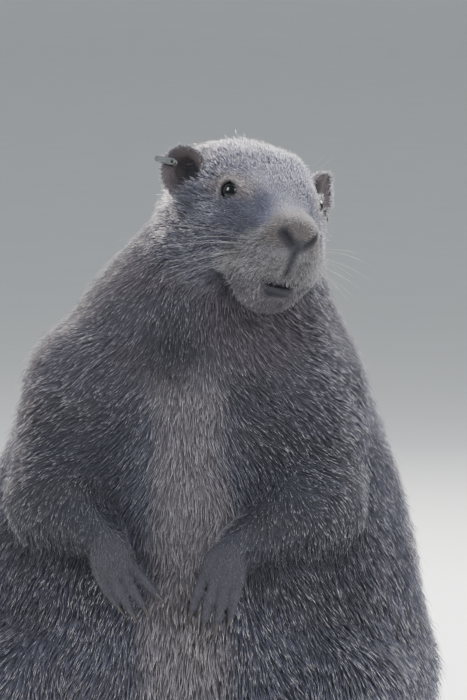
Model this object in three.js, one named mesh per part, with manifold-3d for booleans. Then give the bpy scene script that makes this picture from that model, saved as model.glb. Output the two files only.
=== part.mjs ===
// Alpine marmot sitting upright on its haunches, life size, as a still museum model.
// Millimetres. X is the animal's left, -Y is the way its chest faces, +Z is up.
// The sizes below are measured from the floor under the middle of the trunk.
import * as THREE from "three";
import { mergeVertices } from "three/addons/utils/BufferGeometryUtils.js";
import Module from "manifold-3d";

const wasm = await Module();
wasm.setup();

// Driving sizes of the animal, coat included
const SITTING_HEIGHT = 390;
const HAUNCH_WIDTH = 268;
const EAR_SPACING = 82;
const EYE_RADIUS = 6.6;
const FOREFOOT_FINGERS = 4;
const HINDFOOT_TOES = 5;
const BOX_MIDDLE = 37;
const SEAM = 0.35;
const BLEND = 16;

// The head sits on its own frame: X to the animal's left, -Y out along the nose, +Z to the crown.
// Its origin is midway between the ears.
const HEAD_AT = new THREE.Vector3(33, -15, 0.945 * SITTING_HEIGHT);
const HEAD_YAW = THREE.MathUtils.degToRad(28);
const HEAD_PITCH = THREE.MathUtils.degToRad(1);
const HEAD_ROLL = THREE.MathUtils.degToRad(11.5);

// Level sections of the trunk and neck: height, half width, front, back, sideways shift of the middle
const HALF_WIDTH = HAUNCH_WIDTH / 2;
const TRUNK = [
  { z: -16, half: 0.5 * HALF_WIDTH, front: -34, back: 66, mid: 0 },
  { z: 0, half: 0.68 * HALF_WIDTH, front: -58, back: 86, mid: 0 },
  { z: 30, half: 0.85 * HALF_WIDTH, front: -82, back: 100, mid: 0 },
  { z: 70, half: 0.94 * HALF_WIDTH, front: -95, back: 106, mid: 0 },
  { z: 110, half: 0.97 * HALF_WIDTH, front: -98, back: 104, mid: 0 },
  { z: 150, half: 0.96 * HALF_WIDTH, front: -94, back: 98, mid: 0 },
  { z: 190, half: 0.9 * HALF_WIDTH, front: -85, back: 88, mid: 0 },
  { z: 230, half: 0.8 * HALF_WIDTH, front: -77, back: 75, mid: 1 },
  { z: 265, half: 0.69 * HALF_WIDTH, front: -68, back: 62, mid: 3 },
  { z: 295, half: 0.58 * HALF_WIDTH, front: -58, back: 50, mid: 6 },
  { z: 322, half: 0.46 * HALF_WIDTH, front: -50, back: 42, mid: 11 },
  { z: 345, half: 0.34 * HALF_WIDTH, front: -40, back: 34, mid: 18 },
  { z: 372, half: 0.14 * HALF_WIDTH, front: -20, back: 18, mid: 26 },
];

// Smooth value of one column of the trunk table at height z.
function trunkAt(z, key) {
  const last = TRUNK.length - 1;
  const top = Math.min(Math.max(TRUNK.findIndex((s) => s.z >= z), 1), last);
  const [a, b] = [TRUNK[top - 1], TRUNK[top]];
  const [before, after] = [TRUNK[Math.max(top - 2, 0)], TRUNK[Math.min(top + 1, last)]];
  const span = b.z - a.z;
  const t = Math.min(Math.max((z - a.z) / span, 0), 1);
  const slopeA = ((b[key] - before[key]) / (b.z - before.z)) * span;
  const slopeB = ((after[key] - a[key]) / (after.z - a.z)) * span;
  const [t2, t3] = [t * t, t * t * t];
  const ends = (2 * t3 - 3 * t2 + 1) * a[key] + (3 * t2 - 2 * t3) * b[key];
  return ends + (t3 - 2 * t2 + t) * slopeA + (t3 - t2) * slopeB;
}

// Distance fields: negative inside, in millimetres.
const trunk = (p) => {
  const z = THREE.MathUtils.clamp(p.z, TRUNK[0].z, TRUNK.at(-1).z);
  const [front, back] = [trunkAt(z, "front"), trunkAt(z, "back")];
  const [half, deep] = [trunkAt(z, "half"), (back - front) / 2];
  const x = p.x - trunkAt(z, "mid");
  const y = p.y - (front + back) / 2;
  const ratio = Math.hypot(x / half, y / deep) + 1e-6;
  const slope = Math.hypot(x / half ** 2, y / deep ** 2) + 1e-6;
  const side = Math.max((ratio * (ratio - 1)) / slope, -Math.min(half, deep));
  return Math.hypot(Math.max(side, 0), p.z - z) + Math.min(side, 0);
};

const ellipsoid = (centre, radii, turn = [0, 0, 0]) => {
  const back = new THREE.Quaternion().setFromEuler(new THREE.Euler(...turn)).invert();
  const mid = new THREE.Vector3(...centre);
  const q = new THREE.Vector3();
  return (p) => {
    q.copy(p).sub(mid).applyQuaternion(back);
    const ratio = Math.hypot(q.x / radii[0], q.y / radii[1], q.z / radii[2]) + 1e-6;
    const slope = Math.hypot(q.x / radii[0] ** 2, q.y / radii[1] ** 2, q.z / radii[2] ** 2) + 1e-6;
    return (ratio * (ratio - 1)) / slope;
  };
};

const limb = (start, end, startRadius, endRadius) => {
  const a = new THREE.Vector3(...start);
  const along = new THREE.Vector3(...end).sub(a);
  const q = new THREE.Vector3();
  return (p) => {
    q.copy(p).sub(a);
    const t = THREE.MathUtils.clamp(q.dot(along) / along.lengthSq(), 0, 1);
    return q.addScaledVector(along, -t).length() - THREE.MathUtils.lerp(startRadius, endRadius, t);
  };
};

const soften = (a, b, k) => {
  const h = Math.max(k - Math.abs(a - b), 0) / k;
  return Math.min(a, b) - (h * h * k) / 4;
};

const blend = (k, ...fields) => (p) => fields.reduce((d, f) => soften(d, f(p), k), 1e3);
const UP = new THREE.Vector3(0, 0, 1);
const AHEAD = new THREE.Vector3(0, 1, 0);
const mirrored = (point, side) => [side * point[0], point[1], point[2]];

// Joints of the limbs. The two forepaws hang at slightly different places.
const SHOULDER = [64, -22, 258];
const ELBOW = [74, -62, 196];
const WRIST = { right: [37, -97, 176], left: [29, -98, 171] };
const HIP = [86, 12, 84];
const KNEE = [88, -56, 92];
const HEEL = [72, -40, 16];
const SIDES = { right: -1, left: 1 };

const upperArm = (side) => limb(mirrored(SHOULDER, side), mirrored(ELBOW, side), 33, 25);
const forearm = (side, wrist) => limb(mirrored(ELBOW, side), mirrored(wrist, side), 24, 11);
const thigh = (side) =>
  blend(
    24,
    ellipsoid(mirrored(HIP, side), [46, 66, 62], [0.25, 0, 0]),
    limb(mirrored(HIP, side), mirrored(KNEE, side), 43, 31),
    limb(mirrored(KNEE, side), mirrored(HEEL, side), 27, 14),
  );

const body = blend(
  BLEND,
  trunk,
  ...Object.entries(SIDES).flatMap(([name, side]) => [
    upperArm(side),
    forearm(side, WRIST[name]),
    thigh(side),
  ]),
);

// Head forms in the head's frame
const pair = (form) => [-1, 1].map(form);
const skull = blend(
  16,
  ellipsoid([0, 6, -14], [38, 44, 36]),
  ...pair((side) => ellipsoid([side * 20, 5, -7], [19, 32, 22])),
  limb([0, -14, -8], [0, -62, -24], 24, 14.5),
  ...pair((side) => ellipsoid([side * 14.5, -31, -8], [11.5, 20, 12.5], [0, 0, side * 0.15])),
  ...pair((side) => ellipsoid([side * 22, -16, -33], [21, 31, 23])),
  ...pair((side) => ellipsoid([side * 16, 6, -42], [28, 32, 28])),
);
const muzzle = blend(
  8,
  ...pair((side) => ellipsoid([side * 8, -61.5, -37], [11.5, 17, 14.5], [0, 0, side * 0.12])),
  ...pair((side) => ellipsoid([side * 15.5, -51, -44.5], [11.5, 15, 10.5])),
  ellipsoid([0, -75, -22.5], [13, 10.5, 9.5]),
);
const chin = ellipsoid([0, -47, -57], [15, 18, 11]);
const headField = (p) => soften(soften(skull(p), chin(p), 10), muzzle(p), 12);

// Surface of a field on a grid whose lines are the numbers in xs, ys and zs, as one closed solid.
function surface(field, xs, ys, zs) {
  const [nx, ny, nz] = [xs.length, ys.length, zs.length];
  const at = (i, j, k) => i + nx * (j + ny * k);
  const values = new Float64Array(nx * ny * nz);
  const p = new THREE.Vector3();
  const rim = (i, n) => i === 0 || i === n - 1;
  for (let k = 0; k < nz; k++)
    for (let j = 0; j < ny; j++)
      for (let i = 0; i < nx; i++) {
        const edge = rim(i, nx) || rim(j, ny) || rim(k, nz);
        const d = field(p.set(xs[i], ys[j], zs[k]));
        values[at(i, j, k)] = edge ? Math.max(d, 1) : d;
      }

  // One vertex in each cell that the surface passes, at the middle of the crossings of its edges
  const cells = new Map();
  const points = [];
  const corners = [0, 1, 2, 3, 4, 5, 6, 7].map((c) => [c & 1, (c >> 1) & 1, c >> 2]);
  const step = new THREE.Vector3();
  for (let k = 0; k < nz - 1; k++)
    for (let j = 0; j < ny - 1; j++)
      for (let i = 0; i < nx - 1; i++) {
        const sum = new THREE.Vector3();
        let crossings = 0;
        corners.forEach((c, n) => {
          for (let axis = 0; axis < 3; axis++) {
            if (c[axis]) continue;
            const d = corners[n | (1 << axis)];
            const va = values[at(i + c[0], j + c[1], k + c[2])];
            const vb = values[at(i + d[0], j + d[1], k + d[2])];
            if (va < 0 === vb < 0) continue;
            const t = va / (va - vb);
            p.set(xs[i + c[0]], ys[j + c[1]], zs[k + c[2]]);
            step.set(xs[i + d[0]], ys[j + d[1]], zs[k + d[2]]);
            sum.add(p.lerp(step, t));
            crossings++;
          }
        });
        if (!crossings) continue;
        cells.set(at(i, j, k), points.length / 3);
        points.push(...sum.divideScalar(crossings).toArray());
      }

  // Two triangles across each grid edge that the surface crosses
  const faces = [];
  const around = [
    [[0, 0, 0], [0, -1, 0], [0, -1, -1], [0, 0, -1]],
    [[0, 0, 0], [0, 0, -1], [-1, 0, -1], [-1, 0, 0]],
    [[0, 0, 0], [-1, 0, 0], [-1, -1, 0], [0, -1, 0]],
  ];
  for (let k = 0; k < nz - 1; k++)
    for (let j = 0; j < ny - 1; j++)
      for (let i = 0; i < nx - 1; i++)
        for (let axis = 0; axis < 3; axis++) {
          const here = values[at(i, j, k)] < 0;
          const next = at(i + (axis === 0), j + (axis === 1), k + (axis === 2));
          if (here === values[next] < 0) continue;
          const [a, b, c, d] = around[axis].map(([x, y, z]) => cells.get(at(i + x, j + y, k + z)));
          faces.push(...(here ? [a, b, c, a, c, d] : [a, c, b, a, d, c]));
        }
  return new wasm.Manifold(
    new wasm.Mesh({
      numProp: 3,
      vertProperties: new Float32Array(points),
      triVerts: new Uint32Array(faces),
    }),
  );
}

const even = (from, to, step) => {
  const count = Math.ceil((to - from) / step);
  return Array.from({ length: count + 1 }, (_, i) => from + (i * (to - from)) / count);
};

// Between three.js geometry and solids
function solid(geometry, matrix = new THREE.Matrix4()) {
  const bare = geometry.clone();
  bare.deleteAttribute("normal");
  bare.deleteAttribute("uv");
  const merged = mergeVertices(bare.applyMatrix4(matrix), 1e-3);
  const made = new wasm.Manifold(
    new wasm.Mesh({
      numProp: 3,
      vertProperties: merged.attributes.position.array,
      triVerts: new Uint32Array(merged.index.array),
    }),
  );
  if (made.volume() <= 0) throw new Error("a piece is inside out");
  return made;
}

function geometryOf(made) {
  const { vertProperties, triVerts } = made.getMesh();
  return new THREE.BufferGeometry()
    .setAttribute("position", new THREE.BufferAttribute(new Float32Array(vertProperties), 3))
    .setIndex(new THREE.BufferAttribute(new Uint32Array(triVerts), 1));
}

const largest = (made) => made.decompose().reduce((a, b) => (b.volume() > a.volume() ? b : a));
const joined = (solids) => solids.reduce((a, b) => a.add(b));
const moved = (made, matrix) => made.transform(matrix.toArray());

const fromArrays = (points, faces) =>
  new wasm.Manifold(
    new wasm.Mesh({ numProp: 3, vertProperties: new Float32Array(points), triVerts: new Uint32Array(faces) }),
  );

// The same solid with its surface moved out by a distance.
function grown(made, distance) {
  const geometry = geometryOf(made);
  geometry.computeVertexNormals();
  const { position, normal } = geometry.attributes;
  for (let i = 0; i < position.array.length; i++) position.array[i] += distance * normal.array[i];
  return fromArrays(position.array, geometry.index.array);
}

// Everything on one side of a plane: the side that the normal points to.
function halfSpace(point, normal, gap = 0) {
  const reach = 900;
  const box = new THREE.BoxGeometry(reach, reach, reach).translate(0, 0, reach / 2 + gap);
  const turn = new THREE.Quaternion().setFromUnitVectors(UP, new THREE.Vector3(...normal).normalize());
  const matrix = new THREE.Matrix4().compose(new THREE.Vector3(...point), turn, new THREE.Vector3(1, 1, 1));
  return solid(box, matrix);
}

// Frames
const animal = new THREE.Group();
const headGroup = new THREE.Group();
headGroup.position.copy(HEAD_AT);
headGroup.rotation.set(-HEAD_PITCH, HEAD_ROLL, HEAD_YAW, "ZXY");
animal.add(headGroup);
animal.updateMatrixWorld(true);
const headMatrix = headGroup.matrixWorld;
const toHead = headMatrix.clone().invert();

const fur = (name, color) => new THREE.MeshStandardMaterial({ name, color, roughness: 0.9, metalness: 0 });
const MATERIALS = {
  coat: fur("coat", 0x4a4748),
  face: fur("face", 0x5a5556),
  ear: fur("ear", 0x43383a),
  paw: fur("paw", 0x37353b),
  tail: fur("tail", 0x2f2c2e),
  claw: new THREE.MeshStandardMaterial({ name: "claw", color: 0x1d1a1a, roughness: 0.4, metalness: 0 }),
  eye: new THREE.MeshStandardMaterial({ name: "eye", color: 0x0c0c10, roughness: 0.08, metalness: 0 }),
  tag: new THREE.MeshStandardMaterial({ name: "tag", color: 0xa8a8a4, roughness: 0.35, metalness: 1 }),
};

// Adds the largest closed piece of a solid as a named mesh in a group.
function place(name, made, material, group = animal) {
  const geometry = geometryOf(largest(made)).applyMatrix4(group.matrixWorld.clone().invert());
  const mesh = new THREE.Mesh(geometry, material);
  mesh.name = name;
  group.add(mesh);
}

const curveThrough = (points) =>
  new THREE.CatmullRomCurve3(points.map((v) => new THREE.Vector3(...v)), false, "centripetal");

// A closed tube whose middle line passes through points. shape(t) gives its half width and half
// thickness from its root at 0 to its tip at 1, and flat is the way its thickness faces.
function tube(points, shape, { sides = 8, rings = 8, flat = AHEAD } = {}) {
  const line = curveThrough(points);
  const geometry = new THREE.SphereGeometry(1, sides, rings);
  const { position, uv } = geometry.attributes;
  const [along, wide, thick, at] = [0, 1, 2, 3].map(() => new THREE.Vector3());
  for (let i = 0; i < position.count; i++) {
    const t = THREE.MathUtils.clamp(1 - uv.getY(i), 0, 1);
    const turn = 2 * Math.PI * uv.getX(i);
    const pole = t < 1e-6 || t > 1 - 1e-6;
    line.getTangentAt(t, along);
    thick.copy(flat).addScaledVector(along, -flat.dot(along)).normalize();
    wide.crossVectors(along, thick);
    const [width, thickness] = pole ? [0, 0] : shape(t);
    line.getPointAt(t, at);
    at.addScaledVector(wide, width * Math.cos(turn)).addScaledVector(thick, thickness * Math.sin(turn));
    position.setXYZ(i, at.x, at.y, at.z);
  }
  return geometry;
}

// Share of full size at t on a tube whose ends are rounded over the given shares of its length.
const rounded = (t, root, tip) => {
  const arc = (d) => Math.sqrt(Math.max(1 - (1 - Math.min(d, 1)) ** 2, 0));
  return arc(t / root) * arc((1 - t) / tip);
};

// A tapered cutter round a limb: the flesh inside it belongs to the limb.
function sleeve(start, end, startRadius, endRadius, grow) {
  const axis = new THREE.Vector3(...end).sub(new THREE.Vector3(...start)).normalize();
  const [first, last] = [startRadius + grow, endRadius + grow];
  const from = new THREE.Vector3(...start).addScaledVector(axis, -first);
  const to = new THREE.Vector3(...end).addScaledVector(axis, last);
  const length = from.distanceTo(to);
  const shape = (t) => {
    const radius = THREE.MathUtils.lerp(first, last, t) * rounded(t, first / length, last / length);
    return [radius, radius];
  };
  return solid(tube([from.toArray(), to.toArray()], shape, { sides: 10, rings: 7 }));
}

// Whole surfaces: coarse for the body, and for the head finest on the face
const BODY_CELL = 18;
const FACE_CELL = 4;
const SKULL_CELL = 9;
const q = new THREE.Vector3();
const whole = (p) => soften(body(p), headField(q.copy(p).applyMatrix4(toHead)), BLEND);
const wholeFromHead = (p) => soften(headField(p), body(q.copy(p).applyMatrix4(headMatrix)), BLEND);

const bodySurface = surface(
  whole,
  even(-150, 150, BODY_CELL),
  even(-125, 125, BODY_CELL),
  even(-26, 410, BODY_CELL),
);

// Grid lines that are close together between low and high and further apart outside
const graded = (from, low, high, to, fine, wide) => [
  ...even(from, low, wide).slice(0, -1),
  ...even(low, high, fine),
  ...even(high, to, wide).slice(1),
];
const headSurface = moved(
  surface(
    wholeFromHead,
    graded(-70, -32, 32, 70, FACE_CELL, SKULL_CELL),
    graded(-104, -100, -34, 76, FACE_CELL, SKULL_CELL),
    graded(-96, -64, 2, 34, FACE_CELL, SKULL_CELL),
  ),
  headMatrix,
);

// Point where a ray from inside the head leaves its surface, in the head's frame.
function onHead(from, direction) {
  const [near, way] = [new THREE.Vector3(...from), new THREE.Vector3(...direction).normalize()];
  let [low, high] = [0, 60];
  for (let n = 0; n < 30; n++) {
    const mid = (low + high) / 2;
    if (headField(near.clone().addScaledVector(way, mid)) < 0) low = mid;
    else high = mid;
  }
  return near.addScaledVector(way, low);
}

// Cuts that part the body
const floor = halfSpace([0, 0, 0], [0, 0, 1]);
const NAPE = new THREE.Vector3(0, 16, -44);
const NAPE_NORMAL = new THREE.Vector3(0, -0.5, 0.87);
const NECK_ROOT = [0, 0, 284];
const NECK_LEAN = [0.05, -0.22, 0.97];
const nape = NAPE.applyMatrix4(headMatrix).toArray();
const napeNormal = NAPE_NORMAL.transformDirection(headMatrix).toArray();
const parted = (made, point, normal) => [
  made.intersect(halfSpace(point, normal, SEAM / 2)),
  made.intersect(halfSpace(point, normal.map((v) => -v), SEAM / 2)),
];

const bodySkin = grown(bodySurface, 1.3 * SEAM);
const headSkin = grown(headSurface, 1.3 * SEAM);
const [, belowHead] = parted(bodySurface.intersect(floor), nape, napeNormal);
const [neck, belowNeck] = parted(belowHead, NECK_ROOT, NECK_LEAN);
let torso = belowNeck;

// Forelegs: taken out of the torso and parted at the elbow
for (const [name, side] of Object.entries(SIDES)) {
  const [shoulder, elbow, wrist] = [SHOULDER, ELBOW, WRIST[name]].map((v) => mirrored(v, side));
  const cutter = (grow) => sleeve(shoulder, elbow, 36, 31, grow).add(sleeve(elbow, wrist, 29, 16, grow));
  const arm = torso.intersect(cutter(0));
  torso = torso.subtract(cutter(SEAM));
  const upper = new THREE.Vector3(...shoulder).sub(new THREE.Vector3(...elbow)).normalize();
  const lower = new THREE.Vector3(...wrist).sub(new THREE.Vector3(...elbow)).normalize();
  const [above, below] = parted(arm, elbow, upper.sub(lower).normalize().toArray());
  place(`upper_arm_${name}`, above, MATERIALS.coat);
  place(`forearm_${name}`, below, MATERIALS.coat);
}

// Hind legs: the haunch holds thigh and shin
for (const [name, side] of Object.entries(SIDES)) {
  const cutter = (grow) =>
    joined([
      sleeve(mirrored([HIP[0] + 8, HIP[1] + 6, HIP[2]], side), mirrored(KNEE, side), 58, 42, grow),
      sleeve(mirrored(KNEE, side), mirrored(HEEL, side), 36, 22, grow),
    ]);
  place(`haunch_${name}`, torso.intersect(cutter(0)), MATERIALS.coat);
  torso = torso.subtract(cutter(SEAM));
}
place("torso", torso, MATERIALS.coat);
place("neck", neck, MATERIALS.coat);

// A digit from root through bow to end, with its claw. Both are cut flat where they meet, near the end.
function digit({ root, bow, end, radius, flat, clawTip, clawRadius }) {
  const taper = (t) => [1, 1].map((k) => k * radius * (1 - 0.2 * t) * rounded(t, 0.13, 0.15));
  const whole = solid(tube([root, bow, end], taper, { sides: 6, rings: 5, flat }));
  const way = end.map((v, n) => v - bow[n]);
  const meet = end.map((v, n) => v - (0.3 * radius * way[n]) / Math.hypot(...way));
  const back = way.map((v) => -v);
  const hidden = meet.map((v, n) => v - 0.25 * way[n]);
  const middle = meet.map((v, n) => v + 0.45 * (clawTip[n] - v) + 0.04 * radius * way[n]);
  const point = (t) => [0.8, 1].map((k) => k * clawRadius * (1 - 0.8 * t) * rounded(t, 0.1, 0.06));
  const horn = solid(tube([hidden, middle, clawTip], point, { sides: 5, rings: 4, flat }));
  return {
    flesh: whole.intersect(halfSpace(meet, back, SEAM / 2)),
    claw: horn.intersect(halfSpace(meet, way, SEAM / 2)),
  };
}

// Forepaws: wrist, middle of the knuckles and middle of the finger ends
const FOREPAW = {
  right: { wrist: [-38, -99, 175], knuckles: [-33, -103, 158], ends: [-22, -105, 141], tilt: 2.4, reach: 9 },
  left: { wrist: [28, -100, 171], knuckles: [25.5, -104, 156], ends: [20, -106, 134], tilt: -1.2, reach: 10 },
};
const PALM = { width: 13.5, thickness: 8 };
const FINGER = { radius: 3.6, step: 6.3, endStep: 6.8, arch: 1.8, clawRadius: 2 };

function forepaw({ wrist, knuckles, ends, tilt, reach }) {
  const palmShape = (t) => {
    const size = rounded(t, 0.3, 0.3);
    return [PALM.width * (0.75 + 0.25 * t) * size, PALM.thickness * size];
  };
  const past = knuckles.map((v, n) => v + 0.35 * (v - wrist[n]));
  const palm = solid(tube([wrist, knuckles, past], palmShape, { sides: 8, rings: 5 }));
  const fingers = Array.from({ length: FOREFOOT_FINGERS }, (_, i) => {
    const place = i - (FOREFOOT_FINGERS - 1) / 2;
    const short = 2.2 * place * place;
    const lift = tilt * place;
    const root = [knuckles[0] + place * FINGER.step, knuckles[1] + 0.4 * short, knuckles[2] + 2 + lift / 2];
    const end = [ends[0] + place * FINGER.endStep, ends[1] + 0.3 * short, ends[2] + short + lift];
    const bow = root.map((v, n) => (v + end[n]) / 2 - (n === 1 ? FINGER.arch : 0));
    const long = Math.hypot(...end.map((v, n) => v - root[n]));
    const clawTip = end.map((v, n) => v + (reach * (v - root[n])) / long);
    return digit({ root, bow, end, clawTip, flat: AHEAD, ...FINGER });
  });
  return { made: joined([palm, ...fingers.map((one) => one.flesh)]), claws: fingers.map((one) => one.claw) };
}

// Hind feet: flat soles on the floor, five toes each
const SOLE = { heel: [70, -30, 9], ball: [79, -78, 9.5], width: 15.5, thickness: 9.5 };
const TOE = { radius: 4.9, step: 7.4, reach: 29, height: 4.4, arch: 2, clawRadius: 2, clawReach: 10 };

function hindfoot(side) {
  const heel = mirrored(SOLE.heel, side);
  const ball = mirrored(SOLE.ball, side);
  const ahead = ball.map((v, n) => v + 0.18 * (v - heel[n]));
  const soleShape = (t) => {
    const size = rounded(t, 0.25, 0.22);
    return [SOLE.width * (0.72 + 0.34 * t) * size, SOLE.thickness * size];
  };
  const sole = solid(tube([heel, ball, ahead], soleShape, { sides: 10, rings: 5, flat: UP }));
  const toes = Array.from({ length: HINDFOOT_TOES }, (_, i) => {
    const place = i - (HINDFOOT_TOES - 1) / 2;
    const short = 1.9 * place * place;
    const splay = 0.13 * place + 0.1 * side;
    const root = [ball[0] + place * TOE.step, ball[1] + 2 + 0.5 * short, TOE.height + 1.5];
    const end = [root[0] + splay * TOE.reach, ball[1] - TOE.reach + short, TOE.height - 0.3];
    const bow = root.map((v, n) => (v + end[n]) / 2 + (n === 2 ? TOE.arch : 0));
    const clawTip = [end[0] + splay * TOE.clawReach, end[1] - TOE.clawReach, 1.6];
    return digit({ root, bow, end, clawTip, flat: UP, ...TOE });
  });
  return { made: joined([sole, ...toes.map((one) => one.flesh)]), claws: toes.map((one) => one.claw) };
}

for (const [name, side] of Object.entries(SIDES)) {
  const paws = { forepaw: forepaw(FOREPAW[name]), hindfoot: hindfoot(side) };
  for (const [kind, { made, claws }] of Object.entries(paws)) {
    place(`${kind}_${name}`, made.intersect(floor).subtract(bodySkin), MATERIALS.paw);
    claws.forEach((one, n) => place(`${kind}_${name}_claw_${n + 1}`, one, MATERIALS.claw));
  }
}

// Tail: from the rump down to the floor and round to the animal's left. A core reaches half way to
// the tips of long flat locks, which lie back along it in rings and gather past its end.
const TAIL_LINE = [[0, 80, 40], [4, 104, 27], [22, 130, 22], [51, 147, 19], [78, 151, 17], [91, 149, 15]];
const TAIL = { core: 13, reach: 27, rings: 6, around: 4, lock: 52, width: 12, thickness: 4 };
const tailCurve = curveThrough(TAIL_LINE);
const coreSwell = (t) => TAIL.core * rounded(t, 0.2, 0.25) * (1 + 0.3 * Math.sin(Math.PI * t));
const coreShape = (t) => [coreSwell(t), 0.9 * coreSwell(t)];
const core = solid(tube(TAIL_LINE, coreShape, { sides: 10, rings: 10, flat: UP }));

// Even draws between -1 and 1 from a fixed seed
function drawsFrom(seed) {
  let state = seed;
  return () => {
    state = (state * 1664525 + 1013904223) % 4294967296;
    return (2 * state) / 4294967296 - 1;
  };
}

function tailLocks() {
  const draw = drawsFrom(11);
  const locks = [];
  for (let ring = 0; ring < TAIL.rings; ring++)
    for (let n = 0; n < TAIL.around; n++) {
      const t = 0.2 + (0.74 * ring) / (TAIL.rings - 1) + 0.02 * draw();
      const turn = (2 * Math.PI * (n + 0.5 * (ring % 2))) / TAIL.around + 0.2 * draw();
      const along = tailCurve.getTangentAt(t);
      const side = new THREE.Vector3().crossVectors(along, UP).normalize();
      const over = new THREE.Vector3().crossVectors(side, along);
      const out = side.multiplyScalar(Math.cos(turn)).addScaledVector(over, Math.sin(turn));
      const root = tailCurve.getPointAt(t).addScaledVector(out, 0.45 * TAIL.core);
      const long = TAIL.lock * (1 + 0.12 * draw());
      const rise = TAIL.reach - 0.45 * TAIL.core;
      const middle = root.clone().addScaledVector(along, 0.45 * long).addScaledVector(out, 0.72 * rise);
      const lift = (t > 0.8 ? 0.55 : 0.95) * rise;
      const tip = root.clone().addScaledVector(along, long).addScaledVector(out, lift);
      const points = [root, middle, tip].map((v) => [v.x, v.y, Math.max(v.z, TAIL.thickness)]);
      const swell = (u) => Math.sin(Math.PI * u ** 0.8) ** 0.8;
      const shape = (u) => [TAIL.width * swell(u), TAIL.thickness * swell(u)];
      locks.push(solid(tube(points, shape, { sides: 4, rings: 3, flat: out })));
    }
  return locks;
}
const tail = joined([core, ...tailLocks()]);
place("tail", tail.intersect(floor).subtract(bodySkin), MATERIALS.tail);

// Head: eyes in their sockets with lids, the mouth with its lips, nostrils and the groove above the lip
const inHead = (geometry) => solid(geometry, headMatrix);
const EYE_AXIS = (side) => new THREE.Vector3(side * 0.84, -0.53, 0.12).normalize();
const EYE_BULGE = 1.1;
const LID = { radius: 5.9, thickness: 1.25, out: 0.9 };

const eyes = Object.entries(SIDES).map(([name, side]) => {
  const axis = EYE_AXIS(side);
  const surfacePoint = onHead([side * 13, -26, -8], [side * 0.79, -0.58, 0.1]);
  const centre = surfacePoint.clone().addScaledVector(axis, EYE_BULGE - EYE_RADIUS);
  const ball = (grow) => {
    const sphere = new THREE.SphereGeometry(EYE_RADIUS + grow, 12, 8).rotateZ(Math.PI / 2);
    return inHead(sphere.translate(centre.x, centre.y, centre.z));
  };
  const turn = new THREE.Quaternion().setFromUnitVectors(UP, axis);
  const rim = surfacePoint.clone().addScaledVector(axis, LID.out - 1.2);
  const lids = new THREE.TorusGeometry(LID.radius, LID.thickness, 6, 14).applyQuaternion(turn);
  return { name, ball, lids: inHead(lids.translate(rim.x, rim.y, rim.z)) };
});

const MOUTH = { from: [0, -46, -53], half: THREE.MathUtils.degToRad(47), rise: 2, groove: 1.4, lip: 2.3 };
const mouthLine = (spread, drop) =>
  even(-spread, spread, spread / 4).map((turn) => {
    const height = drop + MOUTH.rise * (turn / MOUTH.half) ** 2;
    const from = [0, MOUTH.from[1], MOUTH.from[2] + height];
    return onHead(from, [Math.sin(turn), -Math.cos(turn), 0]).toArray();
  });
const wire = (points, radius, rings) => {
  const shape = (t) => [radius * rounded(t, 0.1, 0.1), radius * rounded(t, 0.1, 0.1)];
  return inHead(tube(points, shape, { sides: 6, rings, flat: UP }));
};
const lowerLip = wire(mouthLine(0.6 * MOUTH.half, -3.2), MOUTH.lip, 8);
const mouth = wire(mouthLine(MOUTH.half, 0), MOUTH.groove, 12);
const philtrum = wire([-31, -36, -41, -46].map((z) => onHead([0, -60, z], [0, -1, 0]).toArray()), 1.1, 5);
const NOSTRIL = [[2.4, -29.6], [5, -27.4], [7.8, -24.6]];
const nostrils = pair((side) =>
  wire(NOSTRIL.map(([x, z]) => onHead([side * x, -66, z], [side * 0.1, -1, 0]).toArray()), 1.5, 4),
);

// Ears: round cups with a flared rim, open forwards and outwards, and a flat metal tag on each rim
const EAR_BACK = [[0, -9], [6.5, -8], [11, -4.8], [13.2, -0.6], [15.4, 1.4]];
const EAR_CUP = [...EAR_BACK, [15.2, 3.4], [12, 2], [9.4, -2.4], [5.6, -5.4], [0, -6.4]];
const EAR_ROOM = [...EAR_BACK, [16, 5], [13, 14], [0, 16]];
const EAR = { out: EAR_SPACING / 2 - 0.4, back: 2, up: 0.2, size: 0.92, narrow: 0.86 };
const TAG = { long: 12.5, wide: 3.8, thick: 4.6, radius: 13.6 };
const TAG_TURN = { right: 0.5, left: -0.95 };

const ears = Object.entries(SIDES).map(([name, side]) => {
  const facing = new THREE.Vector3(side * 0.66, -0.74, 0.12).normalize();
  const up = new THREE.Vector3(side * 0.22, 0.1, 1);
  const across = new THREE.Vector3().crossVectors(up, facing).normalize();
  const upright = new THREE.Vector3().crossVectors(facing, across);
  const frame = new THREE.Matrix4().makeBasis(across, upright, facing);
  frame.setPosition(side * EAR.out, EAR.back, EAR.up);
  const turned = (outline) => {
    const profile = outline.map(([r, h]) => new THREE.Vector2(r, h));
    const lathe = new THREE.LatheGeometry(profile, 14).rotateX(Math.PI / 2);
    lathe.scale(EAR.size * EAR.narrow, EAR.size, EAR.size);
    const { position } = lathe.attributes;
    for (let i = 0; i < position.count; i++) {
      const curl = Math.max(position.getY(i) - 8, 0);
      position.setZ(i, position.getZ(i) + 0.09 * curl * curl);
      position.setY(i, position.getY(i) - 0.2 * curl);
    }
    return solid(lathe, new THREE.Matrix4().multiplyMatrices(headMatrix, frame));
  };
  const strip = new THREE.BoxGeometry(TAG.long, TAG.wide, TAG.thick).rotateZ(side * 0.25);
  const outward = side * Math.cos(TAG_TURN[name]) * TAG.radius * EAR.narrow;
  strip.translate(outward, Math.sin(TAG_TURN[name]) * TAG.radius, 2.2);
  const tag = solid(strip, new THREE.Matrix4().multiplyMatrices(headMatrix, frame));
  return { name, cup: turned(EAR_CUP), room: grown(turned(EAR_ROOM), SEAM), tag };
});

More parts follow.
